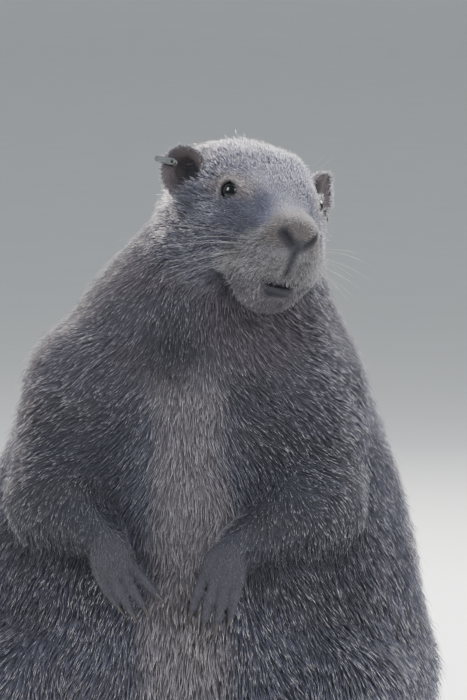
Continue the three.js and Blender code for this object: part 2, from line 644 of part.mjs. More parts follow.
let head = headSurface.intersect(halfSpace(nape, napeNormal, SEAM / 2));
head = joined([head, lowerLip, ...eyes.map((eye) => eye.lids)]);
const hollows = [...eyes.map((eye) => eye.ball(SEAM)), ...ears.map((ear) => ear.room)];
for (const cutter of [mouth, philtrum, ...nostrils, ...hollows]) head = head.subtract(cutter);
place("head", head, MATERIALS.face, headGroup);
for (const { name, ball } of eyes) place(`eye_${name}`, ball(0), MATERIALS.eye, headGroup);
for (const { name, cup, tag } of ears) {
  place(`ear_${name}`, cup, MATERIALS.ear, headGroup);
  place(`ear_tag_${name}`, tag.subtract(grown(cup, SEAM)).subtract(headSkin), MATERIALS.tag, headGroup);
}

// The origin goes to the floor under the middle of the whole box, tail included.
animal.position.set(0, -BOX_MIDDLE, 0);

export default animal;
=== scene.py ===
# Alpine marmot sitting upright on its haunches: skin, coat, ears, eyes, claws, whiskers and ear tags.
# Lengths below are millimetres from the floor under the middle of the trunk: X to the animal's left,
# -Y out from its chest, +Z up. Meshes are made in metres.
import math

import bpy
import numpy as np
from mathutils import Matrix


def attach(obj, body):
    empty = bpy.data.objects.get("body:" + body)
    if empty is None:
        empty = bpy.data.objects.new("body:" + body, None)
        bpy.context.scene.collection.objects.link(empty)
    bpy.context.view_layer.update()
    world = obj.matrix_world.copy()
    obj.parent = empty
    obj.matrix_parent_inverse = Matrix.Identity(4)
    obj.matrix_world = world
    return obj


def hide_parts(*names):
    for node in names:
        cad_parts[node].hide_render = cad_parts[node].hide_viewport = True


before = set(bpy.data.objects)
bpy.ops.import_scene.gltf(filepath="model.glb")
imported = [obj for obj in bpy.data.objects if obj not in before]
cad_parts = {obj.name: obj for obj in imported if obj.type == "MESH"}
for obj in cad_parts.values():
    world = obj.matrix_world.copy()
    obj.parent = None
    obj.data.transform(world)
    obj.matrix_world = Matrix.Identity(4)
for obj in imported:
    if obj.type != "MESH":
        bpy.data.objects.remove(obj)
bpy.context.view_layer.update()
MM = 0.001
BOX_MIDDLE = 37
SIDES = {"right": -1, "left": 1}

# Camera: millimetres to a pixel, height of the picture in pixels and of the sensor in millimetres,
# distance, sight in metres, turn, and where the middle of the picture lies
SCALE = 0.56
IMAGE_HEIGHT = 700
SENSOR = 36
FAR = 3000
SIGHT = 40
AZIMUTH = math.radians(6)
ELEVATION = math.radians(6)
MIDDLE_ACROSS = 21
MIDDLE_UP = 271.6
MIDDLE_OUT = 71


def unit(v):
    """A vector, or each row of vectors, divided by its length."""
    v = np.asarray(v, float)
    return v / (np.linalg.norm(v, axis=-1, keepdims=True) + 1e-12)


def full_turn(count):
    """Angles spread evenly round a circle."""
    return np.linspace(0, 2 * np.pi, count, endpoint=False)


def flattened(ways, normals):
    """Vectors less their parts along the normals."""
    return ways - (ways * normals).sum(1)[:, None] * normals


def place_object(name, data, turn, place):
    """Object of a camera's or light's data, with its axes as the columns of turn and a place in metres."""
    obj = bpy.data.objects.new(name, data)
    turn = Matrix(np.column_stack(turn).tolist()).to_4x4()
    obj.matrix_world = Matrix.Translation(place.tolist()) @ turn
    bpy.context.collection.objects.link(obj)
    return obj


def add_camera():
    """Camera far out in front, turned by the azimuth and the elevation, framing the upper body."""
    across = np.array([math.cos(AZIMUTH), math.sin(AZIMUTH), 0])
    out = np.array([math.sin(AZIMUTH), -math.cos(AZIMUTH), 0]) * math.cos(ELEVATION)
    out[2] = math.sin(ELEVATION)
    up = np.cross(out, across)
    place = across * MIDDLE_ACROSS + up * MIDDLE_UP + out * (MIDDLE_OUT + FAR)
    place[1] -= BOX_MIDDLE
    data = bpy.data.cameras.new("camera")
    data.sensor_fit = "VERTICAL"
    data.sensor_height = SENSOR
    data.lens = SENSOR * FAR / (IMAGE_HEIGHT * SCALE)
    data.clip_end = SIGHT
    bpy.context.scene.camera = place_object("camera", data, [across, up, out], place * MM)


# Distance fields, negative inside, for rows of points


def turned(x, y, z):
    """Rotation about X, Y and Z in that order from the outside in."""
    (cx, cy, cz), (sx, sy, sz) = np.cos([x, y, z]), np.sin([x, y, z])
    rx = np.array([[1, 0, 0], [0, cx, -sx], [0, sx, cx]])
    ry = np.array([[cy, 0, sy], [0, 1, 0], [-sy, 0, cy]])
    rz = np.array([[cz, -sz, 0], [sz, cz, 0], [0, 0, 1]])
    return rx @ ry @ rz


def ellipsoid(centre, radii, turn=(0, 0, 0)):
    """Nearly the distance: k (k - 1) over the length of k's gradient, k being the stretched radius."""
    rotation, centre, radii = turned(*turn), np.array(centre, float), np.array(radii, float)

    def field(p):
        q = (p - centre) @ rotation / radii
        ratio = np.sqrt((q * q).sum(1)) + 1e-6
        q /= radii
        return ratio * (ratio - 1) / (np.sqrt((q * q).sum(1)) + 1e-6)

    return field


def limb(start, end, start_radius, end_radius):
    """Distance to the nearest point of a line, less a radius that runs evenly from end to end."""
    start, along = np.array(start, float), np.subtract(end, start).astype(float)

    def field(p):
        q = p - start
        t = np.clip(q @ along / (along @ along), 0, 1)
        q = q - t[:, None] * along
        return np.sqrt((q * q).sum(1)) - start_radius - (end_radius - start_radius) * t

    return field


def soften(a, b, k):
    """The smaller of two fields, lowered by a quarter of k h squared where they differ by under k."""
    h = np.maximum(k - np.abs(a - b), 0) / k
    return np.minimum(a, b) - h * h * k / 4


def blend(k, *fields):
    """Fields joined one after another with the same softness."""

    def field(p):
        d = fields[0](p)
        for one in fields[1:]:
            d = soften(d, one(p), k)
        return d

    return field


def within(fields, k, margin=12):
    """Fields joined softly, worked out only in the box round their points."""
    points = np.array([point for _, ends in fields for point in ends], float)
    low, high = points.min(0) - margin, points.max(0) + margin

    def field(p):
        d = np.full(len(p), 3.0 * margin)
        near = ((p > low) & (p < high)).all(1)
        if near.any():
            d[near] = blend(k, *[one for one, _ in fields])(p[near])
        return d

    return field


def smooth(low, high, value):
    """Eased step from 0 at low to 1 at high."""
    t = np.clip((value - low) / (high - low), 0, 1)
    return t * t * (3 - 2 * t)


# The trunk's level sections: height, half width, front, back, sideways shift of the middle
HALF_WIDTH = 134
TRUNK = np.array([
    [-16, 0.5, -34, 66, 0],
    [0, 0.68, -58, 86, 0],
    [30, 0.85, -82, 100, 0],
    [70, 0.94, -95, 106, 0],
    [110, 0.97, -98, 104, 0],
    [150, 0.96, -94, 98, 0],
    [190, 0.9, -85, 88, 0],
    [230, 0.8, -77, 75, 1],
    [265, 0.69, -68, 62, 3],
    [295, 0.58, -58, 50, 6],
    [322, 0.46, -50, 42, 11],
    [345, 0.34, -40, 34, 18],
    [372, 0.14, -20, 18, 26],
])


def trunk_sections(z):
    """Hermite curve through the sections, with each slope taken from the two neighbours."""
    last = len(TRUNK) - 1
    top = np.clip(np.searchsorted(TRUNK[:, 0], z), 1, last)
    a, b = TRUNK[top - 1], TRUNK[top]
    before, after = TRUNK[np.maximum(top - 2, 0)], TRUNK[np.minimum(top + 1, last)]
    span = (b[:, 0] - a[:, 0])[:, None]
    t = np.clip((z - a[:, 0])[:, None] / span, 0, 1)
    slope_a = (b - before) / (b - before)[:, :1] * span
    slope_b = (after - a) / (after - a)[:, :1] * span
    ends = (2 * t**3 - 3 * t**2 + 1) * a + (3 * t**2 - 2 * t**3) * b
    return ends + (t**3 - 2 * t**2 + t) * slope_a + (t**3 - t**2) * slope_b


def trunk(p):
    """Ellipse sections: k (k - 1) over the length of k's gradient, and straight up past both ends."""
    z = np.clip(p[:, 2], TRUNK[0, 0], TRUNK[-1, 0])
    _, half, front, back, mid = trunk_sections(z).T
    half, deep = half * HALF_WIDTH, (back - front) / 2
    x, y = p[:, 0] - mid, p[:, 1] - (front + back) / 2
    ratio = np.hypot(x / half, y / deep) + 1e-6
    slope = np.hypot(x / half**2, y / deep**2) + 1e-6
    side = np.maximum(ratio * (ratio - 1) / slope, -np.minimum(half, deep))
    return np.hypot(np.maximum(side, 0), p[:, 2] - z) + np.minimum(side, 0)


# Joints of the limbs
SHOULDER = [64, -22, 258]
ELBOW = [74, -62, 196]
WRIST = {"right": [37, -97, 176], "left": [29, -98, 171]}
HIP = [86, 12, 84]
KNEE = [88, -56, 92]
HEEL = [72, -40, 16]
HAUNCH_RADII = [46, 66, 62]
HAUNCH_LEAN = 0.25


def mirrored(point, side):
    """The point on the animal's right for side -1, or left for side 1."""
    return [side * point[0], point[1], point[2]]


def thigh(side):
    """Haunch, thigh and shin, softly joined."""
    hip, knee, heel = (mirrored(v, side) for v in (HIP, KNEE, HEEL))
    haunch = ellipsoid(hip, HAUNCH_RADII, (HAUNCH_LEAN, 0, 0))
    return blend(24, haunch, limb(hip, knee, 43, 31), limb(knee, heel, 27, 14))


upper_arms = [limb(mirrored(SHOULDER, s), mirrored(ELBOW, s), 33, 25) for s in SIDES.values()]
forearms = [limb(mirrored(ELBOW, s), mirrored(WRIST[n], s), 24, 11) for n, s in SIDES.items()]
body = blend(16, trunk, *upper_arms, *forearms, *[thigh(s) for s in SIDES.values()])

# The head's own frame: its origin is between the ears, -Y runs out along the nose
HEAD_AT = np.array([33, -15, 368.55])
HEAD_YAW, HEAD_PITCH, HEAD_ROLL = np.radians([28, 1, 11.5])
HEAD_TURN = turned(0, 0, HEAD_YAW) @ turned(-HEAD_PITCH, 0, 0) @ turned(0, HEAD_ROLL, 0)


def to_head(p):
    """Points of the animal in the head's frame."""
    return (p - HEAD_AT) @ HEAD_TURN


def from_head(p):
    """Points of the head's frame in the animal's."""
    return np.asarray(p, float) @ HEAD_TURN.T + HEAD_AT


def pair(form):
    """The same form on the right and on the left."""
    return [form(-1), form(1)]


skull = blend(
    16,
    ellipsoid([0, 6, -14], [38, 44, 36]),
    *pair(lambda s: ellipsoid([s * 20, 5, -7], [19, 32, 22])),
    limb([0, -14, -8], [0, -62, -24], 24, 14.5),
    *pair(lambda s: ellipsoid([s * 14.5, -31, -8], [11.5, 20, 12.5], (0, 0, s * 0.15))),
    *pair(lambda s: ellipsoid([s * 22, -16, -33], [21, 31, 23])),
    *pair(lambda s: ellipsoid([s * 16, 6, -42], [28, 32, 28])),
)
pad_fronts = pair(lambda s: ellipsoid([s * 8, -61.5, -37], [11.5, 17, 14.5], (0, 0, s * 0.12)))
pad_flares = pair(lambda s: ellipsoid([s * 14.5, -51, -44.5], [10.8, 15, 10.5]))
pads = [blend(8, *forms) for forms in zip(pad_fronts, pad_flares)]
muzzle = blend(8, *pads, ellipsoid([0, -75, -22.5], [13, 10.5, 9.5]))
chin = ellipsoid([0, -47, -57], [15, 18, 11])


def head_field(p):
    """Skull and chin, then muzzle, softly joined, in the head's frame."""
    return soften(soften(skull(p), chin(p), 12), muzzle(p), 12)


def leave(field, start, way, reach=60):
    """Points where rays from inside a field leave it, by halving."""
    start, way = np.atleast_2d(np.asarray(start, float)), unit(np.atleast_2d(way))
    low, high = np.zeros(len(start)), np.full(len(start), float(reach))
    for _ in range(30):
        mid = (low + high) / 2
        inside = field(start + mid[:, None] * way) < 0
        low, high = np.where(inside, mid, low), np.where(inside, high, mid)
    return start + low[:, None] * way


# Eyes
EYE_RADIUS = 6.6
EYE_BULGE = -0.3
# Swell and bare rim of the lids: half the length, half the height, points and how far they are raised
LID_SWELL = (6.3, 6.1, 16, 1.3)
LID_RIM = (5.7, 5.5, 56, 0)
LID_RADIUS = 0.4
EYE_AXIS = {name: unit([s * 0.84, -0.53, 0.12]) for name, s in SIDES.items()}
EYE_ON = {n: leave(head_field, [s * 13, -26, -8], [s * 0.79, -0.58, 0.1])[0] for n, s in SIDES.items()}
EYE_AT = {n: EYE_ON[n] + (EYE_BULGE - EYE_RADIUS) * EYE_AXIS[n] for n in SIDES}


def lid_line(name, long, high, count, raised):
    """Rim of the lids: an ellipse drawn out at its corners, laid on a sphere just over the eyeball and
    raised along its axis."""
    axis = EYE_AXIS[name]
    forward = unit(np.array([0, -1, -0.12]) - axis * (axis @ [0, -1, -0.12]))
    upward = unit(np.cross(forward, axis))
    upward = upward * np.sign(upward[2])
    turn = full_turn(count)
    ahead = long * np.cos(turn) * (1 + 0.08 * np.abs(np.cos(turn)) ** 6)
    over = high * np.sin(turn) * (1 - 0.1 * np.cos(turn) ** 2)
    reach = raised + np.sqrt((EYE_RADIUS + 0.25) ** 2 - ahead**2 - over**2)
    return EYE_AT[name] + ahead[:, None] * forward + over[:, None] * upward + reach[:, None] * axis


# Ears
EAR = {"out": 40.6, "back": 2, "up": 0.2, "size": 0.92, "narrow": 0.86}


def ear_frame(side):
    """Middle of an ear and its axes across, up and out of the cup, in the head's frame."""
    facing = unit([side * 0.66, -0.74, 0.12])
    across = unit(np.cross([side * 0.22, 0.1, 1], facing))
    return np.array([side * EAR["out"], EAR["back"], EAR["up"]]), across, np.cross(facing, across), facing


def ear_room(h, side):
    """Hollow of an ear in the head: a cone that opens from the bottom of the cup to its rim."""
    middle, across, up, facing = ear_frame(side)
    q = (h - middle) @ np.column_stack([across, up, facing]) / EAR["size"]
    height = q[:, 2]
    opening = np.clip(5.4 + 1.5 * (height + 5.2), 0, 13.8) + 0.2 * np.maximum(height, 0)
    return np.maximum((np.hypot(q[:, 0] / EAR["narrow"], q[:, 1]) - opening) * 0.6, -5.8 - height)


# Mouth, groove above the lip and nostrils, as lines on the skin
MOUTH_FROM = [0, -46, -53]
MOUTH_HALF = math.radians(47)
MOUTH_RISE = 2


def coat_depth_head(h):
    """Depth of the coat on the head: thin at the nose, deeper to the crown, deepest on the cheeks."""
    back = smooth(-74, -2, h[:, 1])
    low = smooth(-12, -44, h[:, 2]) * smooth(-46, -10, h[:, 1])
    temple = smooth(16, 27, np.abs(h[:, 0])) * smooth(-4, -18, h[:, 1]) * smooth(-56, -48, h[:, 1])
    temple = temple * smooth(-46, -34, h[:, 2])
    return (0.8 + 2.0 * back + 1.4 * low) * (1 - 0.5 * near_eyes(h, 15, 6)) + 1.8 * temple


def near_eyes(h, far, near):
    """1 by either eye and 0 past a distance from both."""
    return sum(smooth(far, near, np.linalg.norm(h - EYE_ON[n], axis=1)) for n in SIDES)


def head_share(p, h):
    """1 on the head and 0 on the body, eased where their fields cross."""
    return smooth(-14, 12, body(p) - head_field(h))


def near_arms(p, on_body):
    """1 on the forearms and 0 off them, eased where their field leaves the body's."""
    arms = np.minimum(forearms[0](p), forearms[1](p))
    return smooth(9, -3, arms - on_body) * smooth(-50, -80, p[:, 1])


def coat_depth(p, h, share, on_body):
    """Depth of the coat: that of the head, the trunk or the forearms, and thin by the floor."""
    deep = 4.9 - 2.2 * near_arms(p, on_body) - 2.6 * smooth(26, 10, p[:, 2])
    return deep * (1 - share) + coat_depth_head(h) * share


def head_skin(h):
    """Field of the bare head, in the head's frame."""
    return head_field(h) + coat_depth_head(h)


def mouth_line(spread, drop, count=9):
    """Line round the muzzle that rises to its corners with the square of the turn."""
    turn = np.linspace(-spread, spread, count)
    height = drop + MOUTH_RISE * (turn / MOUTH_HALF) ** 2
    start = np.array(MOUTH_FROM) + np.column_stack([0 * turn, 0 * turn, height])
    return leave(head_skin, start, np.column_stack([np.sin(turn), -np.cos(turn), 0 * turn]))


def chain(points, *radii):
    """Limbs from point to point, each with the points it needs, for a bounded field. The radius runs
    evenly through the given ones."""
    radii = np.interp(np.linspace(0, 1, len(points)), np.linspace(0, 1, len(radii)), radii)
    pairs = zip(points[:-1], points[1:], radii[:-1], radii[1:])
    return [(limb(a, b, ra, rb), (a, b)) for a, b, ra, rb in pairs]


MOUTH = mouth_line(MOUTH_HALF, 0, 13)
LOWER_LIP = mouth_line(0.4 * MOUTH_HALF, -2.9)
PHILTRUM = leave(head_skin, [[0, -60, z] for z in (-31, -35, -39, -43, -46)], [[0, -1, 0]] * 5)
# Across and up
NOSTRIL_LINE = [[2.4, -29.6], [4, -28.2], [6, -26.4], [7.8, -24.6]]


def nostril_line(side):
    """Line of a nostril on the skin, from beside the middle of the nose up and out."""
    return leave(head_skin, [[side * x, -66, z] for x, z in NOSTRIL_LINE], [[side * 0.1, -1, 0]] * 4)


mouth_cut = within(chain(MOUTH, 0.4, 0.9, 1.2, 0.9, 0.4), 0.5)
lip_swell = within(chain(LOWER_LIP, 1.9), 1)
LID_LINES = [lid_line(name, *LID_SWELL) for name in SIDES]
lid_swells = [within(chain(np.vstack([line, line[:1]]), 1.3), 0.6) for line in LID_LINES]
philtrum_cut = within(chain(PHILTRUM, 0.8, 0.4), 0.5)
nostril_cuts = [within(chain(line, 1.1, 1.8), 0.5) for line in pair(nostril_line)]


def nostrils(h):
    """Distance to the nearer nostril."""
    return np.minimum(*[cut(h) for cut in nostril_cuts])


# Paws
FOREPAW = {
    "right": {
        "wrist": [-38, -99, 175], "knuckles": [-33, -103, 158], "ends": [-22, -105, 141],
        "tilt": 2.4, "claw": 9,
    },
    "left": {
        "wrist": [28, -100, 171], "knuckles": [25.5, -104, 156], "ends": [20, -106, 134],
        "tilt": -1.2, "claw": 10,
    },
}
SOLE = {"heel": [70, -30, 9], "ball": [79, -78, 9.5]}
TOE_STEP, TOE_REACH, TOE_HEIGHT = 7.4, 29, 4.4


def fingers_of(name):
    """Root, bow, end and claw tip of each finger of a forepaw, spread evenly and shorter outside."""
    paw = FOREPAW[name]
    place = np.arange(4) - 1.5
    short = 2.2 * place**2
    tilt = paw["tilt"] * place
    root = np.array(paw["knuckles"]) + np.column_stack([place * 6.3, 0.4 * short, 2 + 0.5 * tilt])
    end = np.array(paw["ends"]) + np.column_stack([place * 6.8, 0.3 * short, short + tilt])
    bow = (root + end) / 2 - [0, 1.8, 0]
    return np.stack([root, bow, end, end + paw["claw"] * unit(end - root)], 1)


def toes_of(side):
    """Root, bow, end and claw tip of each toe of a hind foot, splayed and shorter outside."""
    ball = np.array(mirrored(SOLE["ball"], side))
    place = np.arange(5) - 2.0
    short = 1.9 * place**2
    splay = 0.13 * place + 0.1 * side
    none = 0 * place
    root = np.column_stack([ball[0] + place * TOE_STEP, ball[1] + 2 + 0.5 * short, none + TOE_HEIGHT + 1.5])
    beside = root[:, 0] + splay * TOE_REACH
    end = np.column_stack([beside, ball[1] - TOE_REACH + short, none + TOE_HEIGHT - 0.3])
    bow = (root + end) / 2 + [0, 0, 2]
    tip = np.column_stack([end[:, 0] + splay * 10, end[:, 1] - 10, none + 1.6])
    return np.stack([root, bow, end, tip], 1)


DIGITS = {f"forepaw_{name}": fingers_of(name) for name in SIDES}
DIGITS |= {f"hindfoot_{name}": toes_of(side) for name, side in SIDES.items()}
DIGIT_RADIUS = {"forepaw": 3.2, "hindfoot": 4.3}


def paw_fields():
    """Palms and soles as turned ellipsoids, and each digit as two limbs over its bow."""
    fields = []
    for name, side in SIDES.items():
        paw = FOREPAW[name]
        wrist, knuckles = np.array(paw["wrist"], float), np.array(paw["knuckles"], float)
        middle = wrist * 0.45 + knuckles * 0.55
        fields.append((ellipsoid(middle, [12.4, 7, 13]), (middle - 14, middle + 14)))
        heel, ball = (np.array(mirrored(SOLE[k], side), float) for k in ("heel", "ball"))
        middle = (heel + ball) / 2 + [0, -4, -0.5]
        turn = math.atan2(ball[0] - heel[0], heel[1] - ball[1])
        fields.append((ellipsoid(middle, [15.2, 34, 8.8], (0, 0, turn)), (middle - 32, middle + 32)))
    for name, digits in DIGITS.items():
        radius = DIGIT_RADIUS[name.split("_")[0]]
        for root, bow, end, _ in digits:
            fields += [(limb(root, bow, radius, radius * 0.94), (root, bow))]
            fields += [(limb(bow, end, radius * 0.94, radius * 0.72), (bow, end))]
    return fields


paws = within(paw_fields(), 1.2)

# Tail: bare core under long locks
TAIL_LINE = np.array([
    [0, 80, 40], [4, 104, 27], [22, 130, 22], [51, 147, 19], [78, 151, 17], [91, 149, 15],
])
TAIL_SWELL = [9.5, 11, 12.5, 12.5, 11, 7.5]
tail_core = within(chain(TAIL_LINE, *TAIL_SWELL), 6, 30)


def skin_field(p):
    """Flesh under the coat with paws and tail, cut by mouth, groove, nostrils, sockets, ears and floor."""
    h = to_head(p)
    on_body, on_head = body(p), head_field(h)
    share = smooth(-9, 9, on_body - on_head)
    d = soften(on_body, on_head, 16) + coat_depth(p, h, share, on_body)
    for swell in (lip_swell, *lid_swells):
        d = soften(d, swell(h), 2)
    d = soften(soften(d, paws(p), 5), tail_core(p), 10)
    for cut in (mouth_cut, philtrum_cut, *nostril_cuts):
        d = -soften(-d, cut(h), 1)
    for name, side in SIDES.items():
        socket = np.linalg.norm(h - EYE_AT[name], axis=1) - EYE_RADIUS - 0.15
        d = np.maximum(np.maximum(d, -socket), -ear_room(h, side))
    return np.maximum(d, 0.6 - p[:, 2])


# Meshes


def graded(*stretches):
    """Grid lines: each stretch runs from one place to the next at about its own step."""
    lines = [np.linspace(a, b, math.ceil((b - a) / step) + 1)[:-1] for a, b, step in stretches]
    return np.concatenate(lines + [[stretches[-1][1]]])


def grid_values(field, xs, ys, zs):
    """A field's values at the points of a grid, one plane across X at a time."""
    plane = np.stack(np.meshgrid(ys, zs, indexing="ij"), -1).reshape(-1, 2)
    values = [field(np.column_stack([np.full(len(plane), x), plane])) for x in xs]
    return np.array(values, np.float32).reshape(len(xs), len(ys), len(zs))


def crossings(values, lines, axis):
    """Edges along an axis that the surface crosses: where it does, by linear interpolation, the four
    cells round each edge, and whether the field falls along it."""
    low, high = [slice(None)] * 3, [slice(None)] * 3
    low[axis], high[axis] = slice(None, -1), slice(1, None)
    a, b = values[tuple(low)], values[tuple(high)]
    crossed = np.nonzero((a < 0) != (b < 0))
    start, end = a[crossed], b[crossed]
    place = np.column_stack([lines[n][crossed[n]] for n in range(3)])
    ahead = lines[axis][crossed[axis] + 1] - lines[axis][crossed[axis]]
    place[:, axis] += ahead * start / (start - end)
    strides = np.array([values.shape[1] * values.shape[2], values.shape[2], 1])
    second, third = strides[(axis + 1) % 3], strides[(axis + 2) % 3]
    cell = np.stack(crossed, 1) @ strides
    return place, cell[:, None] - np.array([0, second, second + third, third]), start >= 0


def surface_nets(field, *lines):
    """Surface of a field on a grid. Each cell that the surface crosses gets one point, the mean of the
    crossings of its edges, and each crossed edge gets one quad between the four cells round it."""
    values = grid_values(field, *lines)
    rows = zip(*[crossings(values, lines, axis) for axis in range(3)])
    places, cells, falling = (np.concatenate(row) for row in rows)
    ids, quads = np.unique(cells, return_inverse=True)
    quads = quads.reshape(-1, 4)
    counts = np.bincount(quads.ravel(), minlength=len(ids))
    points = [np.bincount(quads.ravel(), np.repeat(places[:, n], 4), len(ids)) / counts for n in range(3)]
    quads[falling] = quads[falling][:, ::-1]
    return np.column_stack(points), quads


def gradient(field, p, step=0.4):
    """Central differences of a field along X, Y and Z."""
    moves = np.eye(3) * step
    return np.column_stack([(field(p + m) - field(p - m)) / (2 * step) for m in moves])


def settle(field, p, rounds=3, most=1.2):
    """Points moved onto a field's surface by Newton steps along its gradient."""
    for _ in range(rounds):
        slope = gradient(field, p)
        move = field(p) / np.maximum((slope**2).sum(1), 0.2)
        p = p - np.clip(move, -most, most)[:, None] * slope
    return p


def in_metres(p):
    """Rows of millimetres as metres from the middle of the whole model's floor."""
    return (np.asarray(p, float) - [0, BOX_MIDDLE, 0]) * MM


def mesh_object(name, points, loops, counts, smooth_faces=True):
    """Mesh of points in millimetres and faces given as one row of corners and their counts."""
    mesh = bpy.data.meshes.new(name)
    mesh.vertices.add(len(points))
    mesh.vertices.foreach_set("co", in_metres(points).astype(np.float32).ravel())
    mesh.loops.add(len(loops))
    mesh.loops.foreach_set("vertex_index", np.asarray(loops, np.int32))
    mesh.polygons.add(len(counts))
    starts = np.concatenate([[0], np.cumsum(counts)[:-1]])
    mesh.polygons.foreach_set("loop_start", starts.astype(np.int32))
    mesh.polygons.foreach_set("use_smooth", np.full(len(counts), smooth_faces))
    mesh.update(calc_edges=True)
    obj = bpy.data.objects.new(name, mesh)
    bpy.context.collection.objects.link(obj)
    return obj


def dress(obj, material, slot, *nodes):
    """Material, body and the nodes that a piece stands for; slot is not used."""
    obj.data.materials.append(material)
    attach(obj, "root")
    if nodes:
        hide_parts(*nodes)
    return obj


def paint(obj, **values):
    """Point attributes: three columns are a colour and one is a number."""
    for name, value in values.items():
        value = np.asarray(value, np.float32)
        if value.ndim == 2:
            rows = np.column_stack([value, np.ones(len(value))])
            layer = obj.data.attributes.new(name, "FLOAT_COLOR", "POINT")
            layer.data.foreach_set("color", rows.astype(np.float32).ravel())
        else:
            obj.data.attributes.new(name, "FLOAT", "POINT").data.foreach_set("value", value)


NO_TRIANGLES = np.zeros((0, 3), int)


def as_loops(quads, triangles=NO_TRIANGLES):
    """Corners of quads and triangles as one row, and how many each face has."""
    counts = np.concatenate([np.full(len(quads), 4), np.full(len(triangles), 3)])
    return np.concatenate([quads.ravel(), triangles.ravel()]), counts


def grid_faces(rows, columns, closed=True, looped=False):
    """Quads between rows of points, each row closed on itself where closed, and the last row joined to
    the first where looped."""
    down = np.arange(rows if looped else rows - 1)
    i, j = np.meshgrid(down, np.arange(columns if closed else columns - 1), indexing="ij")
    below, after = (i + 1) % rows * columns, (j + 1) % columns
    return np.stack([i * columns + j, i * columns + after, below + after, below + j], -1).reshape(-1, 4)


def capped(rings, first, last):
    """Points, quads and triangles of rings in rows, shut by a fan round one point at each end."""
    rows, columns = rings.shape[:2]
    here = np.arange(columns)
    after = (here + 1) % columns
    count, last_row = rows * columns, (rows - 1) * columns
    first_fan = np.column_stack([np.full(columns, count), after, here])
    last_fan = np.column_stack([np.full(columns, count + 1), last_row + here, last_row + after])
    points = np.vstack([rings.reshape(-1, 3), first, last])
    return points, grid_faces(rows, columns), np.vstack([first_fan, last_fan])


def swept(line, radii, sides=10, flat=1.0, lie=(0, 0, 1)):
    """Closed tube: rings of an ellipse round each point of a line, shut by one point at each end.
    The ellipse is radii wide and flat times as thick along lie."""
    line, radii, lie = (np.asarray(v, float) for v in (line, radii, lie))
    along = unit(np.gradient(line, axis=0))
    thick = unit(lie - (along @ lie)[:, None] * along)
    wide = np.cross(along, thick)
    turn = full_turn(sides)[:, None]
    ring = wide[:, None] * np.cos(turn) + thick[:, None] * np.sin(turn) * flat
    return capped(line[:, None] + radii[:, None, None] * ring, line[0], line[-1])


def outward(points, quads, triangles=NO_TRIANGLES):
    """The faces turned over where the closed mesh encloses a negative volume."""
    parts = np.vstack([quads[:, [0, 1, 2]], quads[:, [0, 2, 3]], triangles])
    a, b, c = ((points - points.mean(0))[parts[:, n]] for n in range(3))
    if (a * np.cross(b, c)).sum() < 0:
        return quads[:, ::-1], triangles[:, ::-1]
    return quads, triangles


def joined_tubes(tubes):
    """Several closed tubes as the points, corners and counts of one mesh."""
    points, loops, counts, offset = [], [], [], 0
    for tube in tubes:
        corners, sizes = as_loops(*outward(*tube))
        points.append(tube[0])
        loops.append(corners + offset)
        counts.append(sizes)
        offset += len(tube[0])
    return np.vstack(points), np.concatenate(loops), np.concatenate(counts)


def curve_through(points, count):
    """Catmull-Rom line through points, evenly spaced in its parameter."""
    points = np.asarray(points, float)
    padded = np.vstack([2 * points[0] - points[1], points, 2 * points[-1] - points[-2]])
    t = np.linspace(0, len(points) - 1 - 1e-9, count)
    n = t.astype(int)
    f = (t - n)[:, None]
    a, b, c, d = (padded[n + k] for k in range(4))
    return 0.5 * (2 * b + (c - a) * f + (2 * a - 5 * b + 4 * c - d) * f**2 + (3 * b - a - 3 * c + d) * f**3)


# Colours


def colour(code):
    """Linear colour of a six-figure code."""
    values = np.array([int(code[n:n + 2], 16) / 255 for n in (0, 2, 4)])
    return np.where(values <= 0.04045, values / 12.92, ((values + 0.055) / 1.055) ** 2.4)


SLATE = colour("4f4f5d")
UMBER = colour("51494f")
CHEST = colour("7f797c")
THROAT = colour("575056")
# Paler blue-grey of the forehead and the bridge of the nose: painted sky light from above
FOREHEAD_SKYLIGHT = colour("585869")
CROWN = colour("524f5c")
CHEEK = colour("4c4b58")
MUZZLE = colour("767376")
NOSE = colour("625a58")
CHIN = colour("716e72")
BROW = colour("786d68")
PAW = colour("4d4b54")
EAR_TINT = colour("5f5658")
TAIL_TINT = colour("2a2425")
RUMP = colour("5e5350")
FROST = colour("f0eaea")
BARE = colour("292830")


def waves(p, size, seed):
    """Soft noise between about -1 and 1: the mean of sine waves with fixed random directions."""
    draw = np.random.default_rng(seed)
    total = np.zeros(len(p))
    for way, phase in zip(unit(draw.normal(size=(7, 3))), draw.uniform(0, 2 * np.pi, 7)):
        total += np.sin(p @ way * 2 * np.pi / size * draw.uniform(0.6, 1.5) + phase)
    return total / 3.2


def mix(a, b, share):
    """Rows of colour a turned towards colour b by a share for each row."""
    return a + (b - a) * np.asarray(share)[:, None]


# Middles of the painted shade in the armpits
ARMPIT_SHADE_SPOTS = [-9, -78, 284], [42, -84, 262]
MIDLINE = 4


